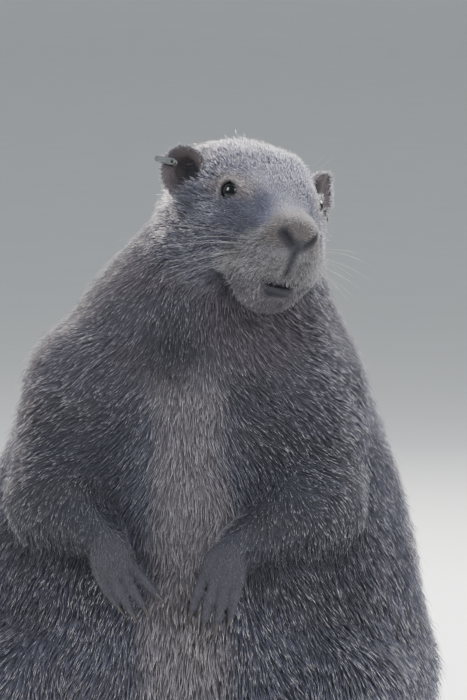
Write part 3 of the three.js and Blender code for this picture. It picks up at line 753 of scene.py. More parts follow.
def markings(p, h, share):
    """Coat colour and frost at points: slate trunk, browner neck and rump, paler stripe down the belly,
    darker throat, painted shade on the armpits and on the arms and chest beside the stripe, blackish
    paws and tail. Each patch is an eased step of a distance."""
    x, y, z = p.T
    tint = np.tile(SLATE, (len(p), 1))
    tint = mix(tint, UMBER, 0.45 * smooth(215, 290, z) + 0.35 * smooth(0.1, 1, waves(p, 45, 4)))
    front = smooth(-30, -60, y)
    stripe = front * smooth(30, 12, np.abs(x - MIDLINE + 5 * waves(p, 60, 14))) * smooth(285, 250, z)
    tint = mix(tint, CHEST, 0.85 * stripe)
    tint = mix(tint, RUMP, 0.7 * smooth(10, 60, y) * smooth(230, 120, z))
    # Painted shade in the armpits
    pits = np.minimum(sum(smooth(36, 14, np.linalg.norm(p - pit, axis=1)) for pit in ARMPIT_SHADE_SPOTS), 1)
    # Painted shade on the arms and the chest either side of the stripe
    beside = front * smooth(18, 44, np.abs(x - MIDLINE)) * smooth(110, 170, z) * smooth(270, 230, z)
    tint = tint * (1 - np.maximum(0.68 * pits, 0.45 * beside))[:, None]
    throat = smooth(44, 20, np.linalg.norm((p - [41, -66, 298]) * [1, 0.7, 1], axis=1))
    tint = mix(tint, THROAT, 0.9 * throat)
    frost = 0.5 + 0.2 * waves(p, 60, 3) + 0.25 * smooth(60, 100, np.abs(x)) * smooth(150, 200, z)
    # Fewer pale tips in the painted shade of the armpits and beside the stripe, and on the throat
    frost = frost * (1 - 0.9 * np.minimum(pits + throat, 1)) * (1 - 0.3 * beside)
    face, face_frost = face_markings(h)
    tint, frost = mix(tint, face, share), frost + (face_frost - frost) * share
    foot = smooth(6, 1, paws(p))
    tail = smooth(26, 14, tail_core(p) + 6)
    tint = mix(mix(tint, PAW, foot), TAIL_TINT, tail)
    return np.clip(tint, 0.005, 1), np.clip(frost * (1 - 0.75 * foot) * (1 - 0.75 * tail), 0, 1)


def face_markings(h):
    """The same on the head: crown and forehead over slate cheeks, muzzle, nose, chin, throat and lips,
    and rows of dark dots where the whiskers grow. The paler forehead and bridge of the nose are
    painted sky light."""
    hx, hy, hz = h.T
    face = np.tile(CHEEK, (len(h), 1))
    top = smooth(-16, 2, hz)
    face = mix(face, CROWN, top * smooth(-30, 8, hy))
    edge = -16 - 12 * smooth(-14, -34, hy)
    middle = smooth(0, 12, hz + 0.12 * (hy + 30) - edge) * smooth(10, -14, hy) * smooth(34, 20, np.abs(hx))
    # Painted sky light: paler blue-grey on the forehead
    face = mix(face, FOREHEAD_SKYLIGHT, middle)
    pad = whisker_pad(h)
    face = mix(face, MUZZLE, pad * smooth(-56, -47, hz))
    # Painted sky light along the bridge of the nose
    face = mix(face, FOREHEAD_SKYLIGHT, smooth(-44, -56, hy) * smooth(-26, -18, hz))
    face = mix(face, NOSE, smooth(-64, -74, hy) * smooth(-35, -28, hz))
    chin_patch = smooth(-47, -55, hz) * smooth(-38, -54, hy)
    face = mix(face, CHIN, chin_patch)
    under = smooth(-51, -64, hz + 2 * waves(h, 14, 15))
    jaw = smooth(-45, -57, hz) * smooth(-58, -38, hy)
    face = mix(face, THROAT, np.maximum(0.9 * under, 0.5 * jaw))
    dots = np.sin(2 * np.pi * (hz + 0.3 * hy) / 3.4) * np.sin(2 * np.pi * (hy - 0.4 * hz) / 3.6)
    face = face * (1 - 0.7 * pad * smooth(0.25, 0.7, dots))[:, None]
    leather = nostrils(h)
    face = mix(face, BARE, smooth(3.4, 0.4, leather))
    face = mix(face, BARE, 0.7 * np.maximum(smooth(3, 0.6, philtrum_cut(h)), smooth(6, 3, nose_leather(h))))
    lip = smooth(3.2, 1.2, lip_swell(h)) * smooth(11, 6, np.abs(hx))
    face = mix(face, BARE, lip)
    frost = 0.26 + 0.4 * top * smooth(-62, -20, hy) + 0.2 * chin_patch
    face, frost = eye_markings(face, frost, h)
    frost = np.maximum(frost * (1 - smooth(-56, -66, hz)), 0.5 * pad * smooth(-56, -47, hz))
    return face, frost * (1 - 0.9 * smooth(5, 1.5, leather)) * (1 - lip)


def eye_markings(face, frost, h):
    """The face's colour and frost with a pale brow over and before each eye and a dark rim round it."""
    for name in SIDES:
        near = np.linalg.norm((h - EYE_ON[name]) * [1, 1, 1.5], axis=1)
        front = np.linalg.norm(h - EYE_ON[name] - [0, -13, 2], axis=1)
        face = mix(face, BROW, 0.75 * smooth(22, 11, near) * smooth(-8, 2, h[:, 2] - EYE_ON[name][2]))
        face = mix(face, BROW, 0.6 * smooth(14, 5, front))
        face = mix(face, BARE, 0.7 * smooth(8, 6, near))
        frost = frost * (1 - 0.7 * smooth(16, 9, near))
    return face, frost


def whisker_pad(h):
    """1 on the swollen pads beside the nose and 0 off them: eased steps of their two ellipsoids."""
    return np.maximum(*[smooth(5, 1, field(h)) for field in pads]) * smooth(-32, -42, h[:, 1])


# Materials


def new_material(name, rough, specular=0.4, metal=0.0):
    """Material with one principled shader, its graph's nodes and links."""
    material = bpy.data.materials.new(name)
    material.use_nodes = True
    nodes, links = material.node_tree.nodes, material.node_tree.links
    shader = nodes["Principled BSDF"]
    shader.inputs["Roughness"].default_value = rough
    shader.inputs["Specular IOR Level"].default_value = specular
    shader.inputs["Metallic"].default_value = metal
    return material, nodes, links, shader


def add_noise(nodes, links, scale, detail=4.0, stretch=(1, 1, 1)):
    """Noise on object coordinates, stretched along the axes."""
    where = nodes.new("ShaderNodeTexCoord")
    mapping = nodes.new("ShaderNodeMapping")
    mapping.inputs["Scale"].default_value = stretch
    noise = nodes.new("ShaderNodeTexNoise")
    noise.inputs["Scale"].default_value = scale
    noise.inputs["Detail"].default_value = detail
    links.new(where.outputs["Object"], mapping.inputs["Vector"])
    links.new(mapping.outputs["Vector"], noise.inputs["Vector"])
    return noise.outputs["Fac"]


def add_ramp(nodes, links, source, *stops):
    """Ramp from (place, colour) stops; the colour is grey where one number is given."""
    ramp = nodes.new("ShaderNodeValToRGB")
    elements = ramp.color_ramp.elements
    while len(elements) < len(stops):
        elements.new(0.5)
    for element, (place, value) in zip(elements, stops):
        element.position = place
        rgb = [value] * 3 if np.isscalar(value) else list(value)
        element.color = (*rgb, 1)
    links.new(source, ramp.inputs["Fac"])
    return ramp.outputs["Color"]


def add_mix(nodes, links, factor, a, b, kind="MIX"):
    """Colour mix of two sockets or colours by a socket or number."""
    node = nodes.new("ShaderNodeMix")
    node.data_type = "RGBA"
    node.blend_type = kind
    for index, value in ((0, factor), (6, a), (7, b)):
        if isinstance(value, bpy.types.NodeSocket):
            links.new(value, node.inputs[index])
        else:
            node.inputs[index].default_value = value if index == 0 else (*value, 1)
    return node.outputs[2]


def add_bump(nodes, links, shader, height, strength, distance):
    """Bump into a shader's normal, with its distance in metres."""
    bump = nodes.new("ShaderNodeBump")
    bump.inputs["Strength"].default_value = strength
    bump.inputs["Distance"].default_value = distance
    links.new(height, bump.inputs["Height"])
    links.new(bump.outputs["Normal"], shader.inputs["Normal"])


def attribute(nodes, name, output="Fac"):
    """Socket of a named attribute."""
    node = nodes.new("ShaderNodeAttribute")
    node.attribute_name = name
    return node.outputs[output]


def grained_material(name, finish, scale, stretch, stops, relief=None):
    """Material whose colour and relief follow one grain. Finish is its roughness, specular and metal,
    stops are places of the grain with their colours, and relief is a strength and a depth in metres."""
    material, nodes, links, shader = new_material(name, *finish)
    grain = add_noise(nodes, links, scale, stretch=stretch)
    links.new(add_ramp(nodes, links, grain, *stops), shader.inputs["Base Color"])
    if relief:
        add_bump(nodes, links, shader, grain, *relief)
    return material


def hair_material():
    """Hair: each tuft's own colour, darker at the root, turning to frost near its tip."""
    material, nodes, links, shader = new_material("frosted_hair", 0.5, 0.35)
    shader.inputs["Sheen Weight"].default_value = 0.12
    shader.inputs["Sheen Roughness"].default_value = 0.4
    along = attribute(nodes, "along")
    depth = add_ramp(nodes, links, along, (0, 0.32), (0.5, 0.8), (1, 1.2))
    base = add_mix(nodes, links, 1.0, attribute(nodes, "tint", "Color"), depth, "MULTIPLY")
    streak = add_ramp(nodes, links, add_noise(nodes, links, 900, 2), (0.35, 0.8), (0.65, 1.2))
    base = add_mix(nodes, links, 1.0, base, streak, "MULTIPLY")
    tip = add_ramp(nodes, links, along, (0.7, 0.0), (0.84, 1.0))
    amount = add_mix(nodes, links, 1.0, tip, attribute(nodes, "frost", "Color"), "MULTIPLY")
    colour_out = add_mix(nodes, links, amount, base, tuple(FROST))
    links.new(colour_out, shader.inputs["Base Color"])
    return material


def skin_material():
    """Skin under the coat: the coat's markings darkened, pitted by hair roots, and bare leather."""
    material, nodes, links, shader = new_material("haired_skin", 0.6, 0.3)
    pits = add_noise(nodes, links, 1400)
    shade = add_ramp(nodes, links, pits, (0.3, 0.45), (0.7, 0.85))
    base = add_mix(nodes, links, 1.0, attribute(nodes, "tint", "Color"), shade, "MULTIPLY")
    links.new(base, shader.inputs["Base Color"])
    add_bump(nodes, links, shader, pits, 0.5, 0.0006)
    return material


def horn_material():
    """Claw horn: nearly black with brown lengthwise streaks and a worn, glossy surface."""
    stops = (0.35, colour("171415")), (0.7, colour("362d29"))
    return grained_material("claw_horn", (0.32, 0.5), 500, (3, 1, 0.4), stops, (0.3, 0.0002))


def eye_material():
    """Eye: blackish brown ball under a clear wet coat."""
    material, nodes, links, shader = new_material("wet_eye", 0.15, 0.05)
    ring = add_ramp(
        nodes, links, attribute(nodes, "out"),
        (0, colour("040406")), (0.42, colour("050506")), (0.52, colour("1c120d")), (0.8, colour("0b0809")),
    )
    links.new(ring, shader.inputs["Base Color"])
    shader.inputs["Coat Weight"].default_value = 1.0
    shader.inputs["Coat Roughness"].default_value = 0.06
    shader.inputs["Coat IOR"].default_value = 1.38
    return material


def lid_material():
    """Bare lid: dark leather with fine wrinkles."""
    stops = (0.3, colour("0c0b0e")), (0.7, colour("1b191c"))
    return grained_material("lid_leather", (0.75, 0.12), 1600, (1, 1, 1), stops, (0.5, 0.0003))


def tag_material():
    """Ear tag: dull brushed metal, darker where it has been rubbed."""
    stops = (0.3, colour("494a4c")), (0.7, colour("82827f"))
    return grained_material("tag_metal", (0.38, 0.5, 1.0), 700, (1, 1, 6), stops, (0.35, 0.0002))


def floor_material():
    """Even pale matt finish for the floor, with a faint grain."""
    tint = colour("d9dad8")
    return grained_material("pale_floor", (0.85, 0.2), 12, (1, 1, 1), [(0.3, tint * 0.97), (0.7, tint)])


def whisker_material():
    """Whiskers: smooth pale bristle."""
    material, nodes, links, shader = new_material("whisker_bristle", 0.35, 0.5)
    tint = add_ramp(nodes, links, attribute(nodes, "along"), (0, colour("474343")), (0.7, colour("8a8585")))
    links.new(tint, shader.inputs["Base Color"])
    return material


# Skin


FLESH = ["head", "neck", "torso", "tail"] + [
    f"{part}_{name}" for part in ("upper_arm", "forearm", "forepaw", "haunch", "hindfoot") for name in SIDES
]
# Stretches of the skin's grid along X, Y and Z: from, to and step
SKIN_GRID = [
    [(-143, -46, 2.8), (-46, 94, 1.4), (94, 143, 2.8)],
    [(-126, -108, 2.4), (-108, -44, 1.4), (-44, 176, 3.1)],
    [(-2, 20, 2.0), (20, 316, 3.1), (316, 380, 1.35), (380, 404, 2.4)],
]
UNDER_COAT = 0.7


def build_skin(material):
    """Skin over all the flesh, from the skin field, finest over the face and fine over the forepaws. It
    has the coat's markings, darker, and leather where no hair grows."""
    points, quads = surface_nets(skin_field, *[graded(*stretches) for stretches in SKIN_GRID])
    points = settle(skin_field, points)
    skin = mesh_object("skin", points, *as_loops(quads))
    h = to_head(points)
    tint, _ = markings(points, h, head_share(points, h))
    paint(skin, tint=mix(tint * UNDER_COAT, bare_tint(h), bare_share(points, h)))
    dress(skin, material, "coat", *FLESH)
    return points, quads


def vertex_normals(points, quads):
    """Mean of the crossed diagonals of the quads round each point."""
    a, b, c, d = (points[quads[:, n]] for n in range(4))
    normal = np.cross(c - a, d - b)
    flat = quads.ravel()
    total = [np.bincount(flat, np.repeat(normal[:, n], 4), len(points)) for n in range(3)]
    return unit(np.column_stack(total))


def place_facts(p):
    """Head coordinates, share of the head and share of the paws and the tail at points."""
    h = to_head(p)
    share = head_share(p, h)
    foot = smooth(5, 0.5, paws(p))
    tail = smooth(8, 2, tail_core(p)) * smooth(88, 100, p[:, 1])
    return h, share, foot, tail


# Coat


def flow_at(p, normals, h, share, foot, tail):
    """Way that the hair points: back from the nose on the head, down and outwards on the trunk, down the
    arms, along the digits and the tail, flattened onto the skin."""
    x, y, z = p.T
    none = np.zeros(len(p))
    high = smooth(170, 250, z)
    aside = x - MIDLINE
    sideways = np.sign(aside) * smooth(0, 60, np.abs(aside)) * (0.35 + 0.9 * high)
    behind = smooth(-60, 60, y) * (0.2 + 0.3 * smooth(200, 60, z))
    flow = unit(np.column_stack([sideways, behind, none - 1]))
    nose = np.array([0, -80, -24])
    away = unit((h - nose) * [1, 1, 0.9]) @ HEAD_TURN.T
    falling = smooth(-8, 30, h[:, 1])[:, None] * np.array([0, 0, -0.9])
    flow = mix(flow, away + falling, share)
    for field, (name, side) in zip(forearms, SIDES.items()):
        near = smooth(6, -6, field(p) - body(p)) * (1 - share) * smooth(-40, -70, y)
        way = unit(np.subtract(mirrored(WRIST[name], side), mirrored(ELBOW, side)) * [1, 1, 1.6])
        flow = mix(flow, np.tile(way, (len(p), 1)), 0.8 * near)
    forward = np.where((z < 60)[:, None], [[0, -1, -0.1]], [[0, -0.1, -1.0]])
    flow = mix(flow, forward, foot)
    links = unit(np.diff(TAIL_LINE, axis=0))
    middles = (TAIL_LINE[:-1] + TAIL_LINE[1:]) / 2
    weight = np.exp(-((p[:, None] - middles) ** 2).sum(2) / 500)
    flow = mix(flow, unit(weight @ links + 1e-9), tail)
    return unit(flattened(flow, normals) + 1e-6)


TAIL_HAIR = 33


def hair_length(p, h, share, foot, tail):
    """Length of hair in millimetres: from 1.5 on the nose to 14 on the haunches and 33 on the tail."""
    x, z = p[:, 0], p[:, 2]
    hy, hz = h[:, 1], h[:, 2]
    back = smooth(-66, -18, hy)
    low = smooth(-10, -46, hz) * smooth(-48, -8, hy)
    pad = whisker_pad(h) * smooth(-82, -66, hy)
    fringe = pad * smooth(-62, -48, hy) * smooth(-34, -46, hz)
    chin_hair = smooth(-49, -58, hz) * smooth(-66, -56, hy)
    on_head = 1.5 + 4.9 * back + 2.4 * low + 2.2 * pad + 2.6 * fringe + 4.5 * chin_hair
    on_head = on_head * (1 - 0.5 * np.minimum(near_eyes(h, 13, 6.5), 1))
    for side in SIDES.values():
        ear = h - ear_frame(side)[0]
        front = smooth(2, -6, ear[:, 1]) * smooth(-8, 2, ear[:, 2])
        on_head = on_head * (1 - 0.5 * smooth(24, 16, np.linalg.norm(ear, axis=1)) * front)
        on_head = on_head + 4 * smooth(20, 8, np.linalg.norm(ear - [0, 6, -17], axis=1))
        on_head = on_head + 4 * smooth(15, 6, np.linalg.norm(ear - [-side * 4, -8, -13], axis=1))
    on_body = 8.8 + 2.2 * smooth(190, 90, z) + 3 * smooth(70, 110, np.abs(x)) * smooth(180, 100, z)
    on_body = on_body - smooth(230, 280, z) - 3.2 * near_arms(p, body(p))
    on_body = on_body * (0.5 + 0.5 * smooth(2, 40, z))
    length = on_body + (on_head - on_body) * share
    length = length + (1.8 + 1.2 * smooth(150, 172, z) - length) * foot
    return length + (TAIL_HAIR - length) * tail


def nose_leather(h):
    """Distance to a flattened spot between the nostrils."""
    return np.linalg.norm((h - PHILTRUM[0] - [0, 0, 1.5]) * [0.75, 1, 1], axis=1)


def bare_share(p, h):
    """1 where no hair grows: lips, nostrils and the leather round them, eyelids, ear hollows and soles."""
    slits = np.minimum(mouth_cut(h), philtrum_cut(h) - 0.1)
    lip = lip_swell(h) + 2 * smooth(5, 10, np.abs(h[:, 0]))
    leather = np.minimum(nostrils(h) - 0.3, nose_leather(h) - 2.4)
    balls = np.minimum.reduce([np.linalg.norm(h - EYE_AT[n], axis=1) - EYE_RADIUS for n in SIDES])
    rooms = np.minimum(ear_room(h, -1), ear_room(h, 1))
    bare = [smooth(0.5, 0.1, slits), smooth(1.5, 0.7, lip), smooth(0.6, 0.1, leather)]
    bare += [smooth(1.7, 0.9, balls), smooth(1, 0.3, rooms)]
    return np.maximum.reduce([*bare, smooth(2.6, 1.4, p[:, 2])])


def bare_tint(h):
    """Colour of bare skin: dark leather, made nearly black inside the nostrils and the mouth by painted
    shade.
    """
    inside = np.minimum(nostrils(h), mouth_cut(h) - 0.2)
    # Painted shade inside the nostrils and the mouth slit
    return BARE * (1 - 0.85 * smooth(0.5, -0.3, inside))[:, None]


def scatter(points, quads, density, draw):
    """Roots spread over quads: an even comb over the running sum of area times density picks each
    quad, and two random shares place the root on it."""
    a, b, c, d = (points[quads[:, n]] for n in range(4))
    area = np.linalg.norm(np.cross(c - a, d - b), axis=1) / 2
    running = np.cumsum(area * density[quads].mean(1))
    count = int(running[-1])
    picks = np.searchsorted(running, (np.arange(count) + draw.uniform(0, 1, count)) * running[-1] / count)
    picks = np.minimum(picks, len(quads) - 1)
    u, v = draw.uniform(0, 1, (2, count, 1))
    a, b, c, d = (points[quads[picks, n]] for n in range(4))
    return (a * (1 - u) + b * u) * (1 - v) + (d * (1 - u) + c * u) * v, picks


def clumped(roots, tips, size, pull, draw):
    """Tips pulled towards the mean tip of their clump: a clump is a cell of a wobbly grid of a size."""
    wobble = np.column_stack([waves(roots, 5 * size, 20 + n) for n in range(3)])
    cell = np.floor((roots + wobble * size) / size).astype(np.int64) + 4096
    key = (cell[:, 0] * 8192 + cell[:, 1]) * 8192 + cell[:, 2]
    ids, group = np.unique(key, return_inverse=True)
    group = group.ravel()
    counts = np.bincount(group)
    mean = np.column_stack([np.bincount(group, tips[:, n]) / counts for n in range(3)])
    luck = draw.uniform(0, 1, len(ids))[group]
    return tips + (mean[group] - tips) * pull[:, None], luck


# A tuft is a closed blade with three corners at its root, three at its middle and one at its tip
BLADE_QUADS = np.array([[0, 1, 4, 3], [1, 2, 5, 4], [2, 0, 3, 5]])
BLADE_TRIANGLES = np.array([[3, 4, 6], [4, 5, 6], [5, 3, 6], [2, 1, 0]])
BLADE_ACROSS = np.array([0, 1, 0.5, 0, 1, 0.5, 0.5])
BLADE_ALONG = np.array([0, 0, 0, 0.52, 0.52, 0.52, 1])
BLADE_RINGS = (0.0, 1.0, 0.5), (0.52, 0.82, 0.0)
PATCH = 0.003
LOWEST_HAIR = 0.4


def blade_points(roots, normals, ways, length, width, lift):
    """Corners of each blade, the broad side turned outwards. Its middle runs along root + length (way t
    + normal (lift t - lift 0.45 t squared)), and a ring is a place t, a share of the width and a depth
    in the skin."""
    across = unit(np.cross(ways, normals))
    rings = []
    for t, share, sunk in BLADE_RINGS:
        rise = lift * (t - 0.45 * t * t)
        middle = roots + length[:, None] * (ways * t + normals * rise[:, None]) - normals * sunk
        half = (0.5 * share * width)[:, None]
        rings += [middle + across * half, middle - across * half, middle + normals * half * 0.7]
    tip = roots + length[:, None] * (ways + normals * (lift * 0.55)[:, None])
    points = np.stack([*rings, tip], 1)
    points[:, :, 2] = np.maximum(points[:, :, 2], LOWEST_HAIR)
    return points


def tuft_mesh(name, wrap, tint, frost, roots, *shape):
    """Tufts as one mesh, with the faces turned outwards, their colour, frost and place along them."""
    points = blade_points(roots, *shape)
    faces = [*BLADE_QUADS, *BLADE_TRIANGLES]
    base = np.cross(points[:, 1] - points[:, 0], points[:, 2] - points[:, 0])
    if ((points[:, 6] - points[:, 0]) * base).sum() < 0:
        faces = [face[::-1] for face in faces]
    corners = np.concatenate(faces)
    count = len(roots)
    loops = (np.arange(count)[:, None] * len(BLADE_ALONG) + corners).ravel()
    obj = mesh_object(name, points.reshape(-1, 3), loops, np.tile([len(face) for face in faces], count))
    paint(
        obj,
        tint=np.repeat(tint, len(BLADE_ALONG), 0),
        frost=np.repeat(frost, len(BLADE_ALONG)),
        along=np.tile(BLADE_ALONG, count),
    )
    add_bake_map(obj, wrap(roots), corners)
    return obj


def add_bake_map(obj, places, corners):
    """Map in which each tuft is a small patch at its root's place: across it by u, along it by v."""
    patch = (np.column_stack([BLADE_ACROSS, BLADE_ALONG]) * PATCH)[corners]
    rows = places[:, None] * (1 - 2 * PATCH) + PATCH / 2 + patch
    obj.data.uv_layers.new(name="OFBake").data.foreach_set("uv", rows.astype(np.float32).ravel())


def wrap_round(centre, axes):
    """Unwrap of the skin round an axis: the turn about it is u and the place along it is v."""

    def places(p):
        q = (p - centre) @ np.array(axes, float).T
        turn = np.arctan2(q[:, 1], q[:, 0]) / (2 * np.pi) + 0.5
        low, high = q[:, 2].min(), q[:, 2].max()
        return np.column_stack([turn, (q[:, 2] - low) / (high - low + 1e-6)])

    return places


BODY_WRAP = wrap_round([0, 5, 0], np.eye(3))
HEAD_WRAP = wrap_round(from_head([[0, 0, -22]])[0], [HEAD_TURN[:, 0], HEAD_TURN[:, 2], HEAD_TURN[:, 1]])
TAIL_WRAP = wrap_round([50, 130, 18], [[0, 1, 0], [0, 0, 1], [1, 0, 0]])
MOST_TUFTS = 19500
GUARD_SHARE = 0.06
GUARD_LONGER = 1.3
SMALL_CLUMP = {"size": 3.4, "pull": 0.26}
LARGE_CLUMP = {"size": 8, "pull": 0.12}


def face_share(h, share):
    """1 on the face and 0 from the ears back."""
    return share * smooth(10, -30, h[:, 1])


def coat_density(p):
    """Tufts to a square millimetre: fewest on the trunk, most on the face and none on bare skin."""
    h, share, foot, tail = place_facts(p)
    density = 0.418 + 0.46 * share + 0.9 * face_share(h, share) + 0.65 * foot + 0.2 * tail
    return density * (1 - bare_share(p, h))


def lay_hair(roots, normals, h, share, foot, tail, draw):
    """Way, length, lift and luck of each tuft. The flow swings by a slow and a quick wave, a few guard
    hairs are longer, and the tips are pulled together in small and in large clumps."""
    count = len(roots)
    flow = flow_at(roots, normals, h, share, foot, tail)
    across = np.cross(normals, flow)
    swing = 0.2 * waves(roots, 34, 5) + 0.16 * waves(roots, 11, 6) + draw.normal(0, 0.12, count)
    ways = flow * np.cos(swing)[:, None] + across * np.sin(swing)[:, None]
    crown = share * smooth(-4, 12, h[:, 2]) * smooth(-34, -8, h[:, 1])
    lift = 0.7 + 0.14 * waves(roots, 20, 7) + draw.normal(0, 0.16, count)
    lift = np.clip(lift, 0.1, 1.2) * (1 - 0.25 * face_share(h, share)) * (1 - 0.4 * foot) + 0.3 * crown
    length = hair_length(roots, h, share, foot, tail)
    length = length * (1 + 0.12 * waves(roots, 16, 9) + draw.normal(0, 0.16, count)) + 0.3 * crown
    guard = draw.uniform(0, 1, count) < GUARD_SHARE * (1 - foot)
    length = np.where(guard, length * GUARD_LONGER, length)
    tips = roots + length[:, None] * ways
    furry = (1 - foot) * (1 - 0.5 * share)
    tips, luck = clumped(roots, tips, SMALL_CLUMP["size"], SMALL_CLUMP["pull"] * furry, draw)
    tips, _ = clumped(roots, tips, LARGE_CLUMP["size"], LARGE_CLUMP["pull"] * furry, draw)
    return (tips - roots) / length[:, None], length, lift, luck


def colour_hair(roots, h, share, foot, luck, draw):
    """Colour and frost of each tuft: the markings, lighter or darker by its clump and by chance, and a
    pale tip on some of the tufts, on more of them where there is more frost."""
    count = len(roots)
    tint, frost = markings(roots, h, share)
    chance = draw.normal(0, 0.22, count) * (1 + 0.5 * share)
    tone = np.exp(0.16 * waves(roots, 9, 10) + 0.3 * (luck - 0.5) + chance)
    frost = np.clip(frost * (0.6 + 0.8 * luck) + draw.normal(0, 0.15, count), 0, 1)
    pale = draw.uniform(0, 1, count) < 0.3 + 0.42 * frost
    return tint * tone[:, None], np.where(pale, 0.34 + 0.6 * frost, 0.06 * frost) * (1 - 0.6 * foot)


def coat_parts(roots, h, share, foot, tail):
    """Parts of the coat: the tufts of each, its slot, its unwrap and the measure along which it is cut."""
    head, paw, brush = (share > 0.5) & (foot < 0.5), foot >= 0.5, (tail > 0.5) & (foot < 0.5)
    return {
        "head": (head, "face", HEAD_WRAP, h[:, 1]),
        "paws": (paw, "paw", BODY_WRAP, roots[:, 2]),
        "tail": (brush, "tail", TAIL_WRAP, roots[:, 0]),
        "trunk": (~(head | paw | brush), "coat", BODY_WRAP, roots[:, 2]),
    }


def grow_coat(skin_points, quads, hair):
    """All tufts on the skin, in pieces of head, paws, tail and trunk."""
    draw = np.random.default_rng(8)
    roots, picks = scatter(skin_points, quads, coat_density(skin_points), draw)
    normals = unit(vertex_normals(skin_points, quads)[quads[picks]].mean(1))
    h, share, foot, tail = place_facts(roots)
    ways, length, lift, luck = lay_hair(roots, normals, h, share, foot, tail, draw)
    chance = draw.uniform(0.7, 1.2, len(roots))
    width = np.clip(0.2 + 0.027 * length - 0.05 * share, 0.24, 1.1) * chance
    tint, frost = colour_hair(roots, h, share, foot, luck, draw)
    tufts = tint, frost, roots, normals, ways, length, width, lift
    for name, (chosen, slot, wrap, measure) in coat_parts(roots, h, share, foot, tail).items():
        chosen = np.nonzero(chosen)[0]
        chosen = chosen[np.argsort(measure[chosen], kind="stable")]
        for n, part in enumerate(np.array_split(chosen, math.ceil(len(chosen) / MOST_TUFTS))):
            piece = tuft_mesh(f"coat_{name}_{n + 1}", wrap, *[values[part] for values in tufts])
            dress(piece, hair, slot)


# Eyes, lids, ears, tags, claws and whiskers


BALL_ROWS = 28
BALL_COLUMNS = 40
BALL_BULGE = 0.02


def ball_mesh(name, centre, axis, radius):
    """Sphere by its angle from an axis and the turn about it, with a clear bulge of the front: the
    radius grows by a share of the cube of the cosine."""
    across = unit(np.cross(axis, [0, 0, 1]))
    up = np.cross(across, axis)
    angle = np.linspace(0, np.pi, BALL_ROWS)[1:-1]
    turn = full_turn(BALL_COLUMNS)[:, None]
    size = radius * (1 + BALL_BULGE * np.clip(np.cos(angle), 0, 1) ** 3)
    ring = across * np.cos(turn) + up * np.sin(turn)
    rings = (size * np.cos(angle))[:, None, None] * axis + (size * np.sin(angle))[:, None, None] * ring
    points, loops, counts = joined_tubes([capped(rings, size[0] * axis, -radius * axis)])
    ball = mesh_object(name, from_head(points + centre), loops, counts)
    paint(ball, out=np.concatenate([np.repeat(angle, BALL_COLUMNS), [0, np.pi]]) / (np.pi / 2))
    return ball


def ring_tube(line, radius, sides=8):
    """Closed ring: circles of one radius round a line that ends where it starts."""
    line = np.asarray(line, float)
    along = unit(np.roll(line, -1, 0) - np.roll(line, 1, 0))
    out = unit(flattened(unit(line - line.mean(0)), along))
    over = np.cross(along, out)
    turn = full_turn(sides)[:, None]
    ring = out[:, None] * np.cos(turn) + over[:, None] * np.sin(turn)
    points = (line[:, None] + radius * ring).reshape(-1, 3)
    return points, grid_faces(len(line), sides, looped=True)


def build_eyes():
    """Each eyeball with a ring of bare lid, drawn to a point at its corners."""
    wet, leather = eye_material(), lid_material()
    for name in SIDES:
        ball = ball_mesh(f"eyeball_{name}", EYE_AT[name], EYE_AXIS[name], EYE_RADIUS)
        dress(ball, wet, "eye", f"eye_{name}")
        points, quads = ring_tube(lid_line(name, *LID_RIM), LID_RADIUS)
        lid = mesh_object(f"lid_{name}", from_head(points), *as_loops(*outward(points, quads)))
        dress(lid, leather, "face")


# Half section of a cup from the middle of its back over the rim to the middle of its inside
EAR_PROFILE = [
    [0, -8.6], [4, -8.2], [8, -7], [11, -4.6], [13.1, -1.2], [14.6, 0.9], [15.3, 2.1], [15.1, 2.9],
    [13.9, 2.1], [12.2, 0.4], [10, -2.4], [7, -4.6], [3.6, -5.8], [0, -6.2],
]
EAR_CURVE = curve_through(EAR_PROFILE, 40)
EAR_COLUMNS = 56


def ear_rings(side):
    """Rings of a cup from its back over the rim to its inside, in the ear's axes: the profile turned
    about its axis, narrowed, curled over at the top and folded along its front edge."""
    turn = full_turn(EAR_COLUMNS)
    radius, height = (EAR["size"] * EAR_CURVE[1:-1, n, None] for n in range(2))
    inside = smooth(0.5, 0.58, np.arange(len(radius)) / len(radius))[:, None]
    upward = radius * np.sin(turn)
    crease = np.exp(-((radius - 8.2 - 1.6 * np.sin(turn)) ** 2) / 2.6)
    fold = crease * smooth(-0.75, 0.4, np.sin(turn + 0.5 * side))
    curl = np.maximum(upward - 8, 0)
    wobble = 0.5 * np.sin(3 * turn + side) * (radius / 15) ** 4
    forward = height + 1.5 * inside * fold + 0.09 * curl**2 + wobble
    return np.stack([EAR["narrow"] * radius * np.cos(turn), upward - 0.2 * curl, forward], -1)


def build_ears(skin, hair):
    """Round cups, with painted shade darkening the hollow towards its bottom, and short hair over the
    back, the rim and the inside.
    """
    for name, side in SIDES.items():
        middle, *axes = ear_frame(side)
        axes = np.array(axes)
        rings = ear_rings(side)
        ends = [[0, 0, EAR["size"] * EAR_CURVE[n, 1]] for n in (0, -1)]
        local, quads, fans = capped(rings, *ends)
        points = from_head(local @ axes + middle)
        quads, fans = outward(points, quads, fans)
        cup = mesh_object(f"cup_{name}", points, *as_loops(quads, fans))
        inner = smooth(0.52, 0.6, np.arange(len(rings)) / len(rings))
        inner = np.concatenate([np.repeat(inner, EAR_COLUMNS), [0, 1]])
        # Painted shade: the hollow is darker the deeper it goes
        deep = inner * smooth(2, -5, local[:, 2])
        paint(cup, tint=EAR_TINT * (1.1 - 0.85 * deep)[:, None])
        dress(cup, skin, "ear", f"ear_{name}")
        ear_coat(name, points, quads, inner, middle, axes, hair)


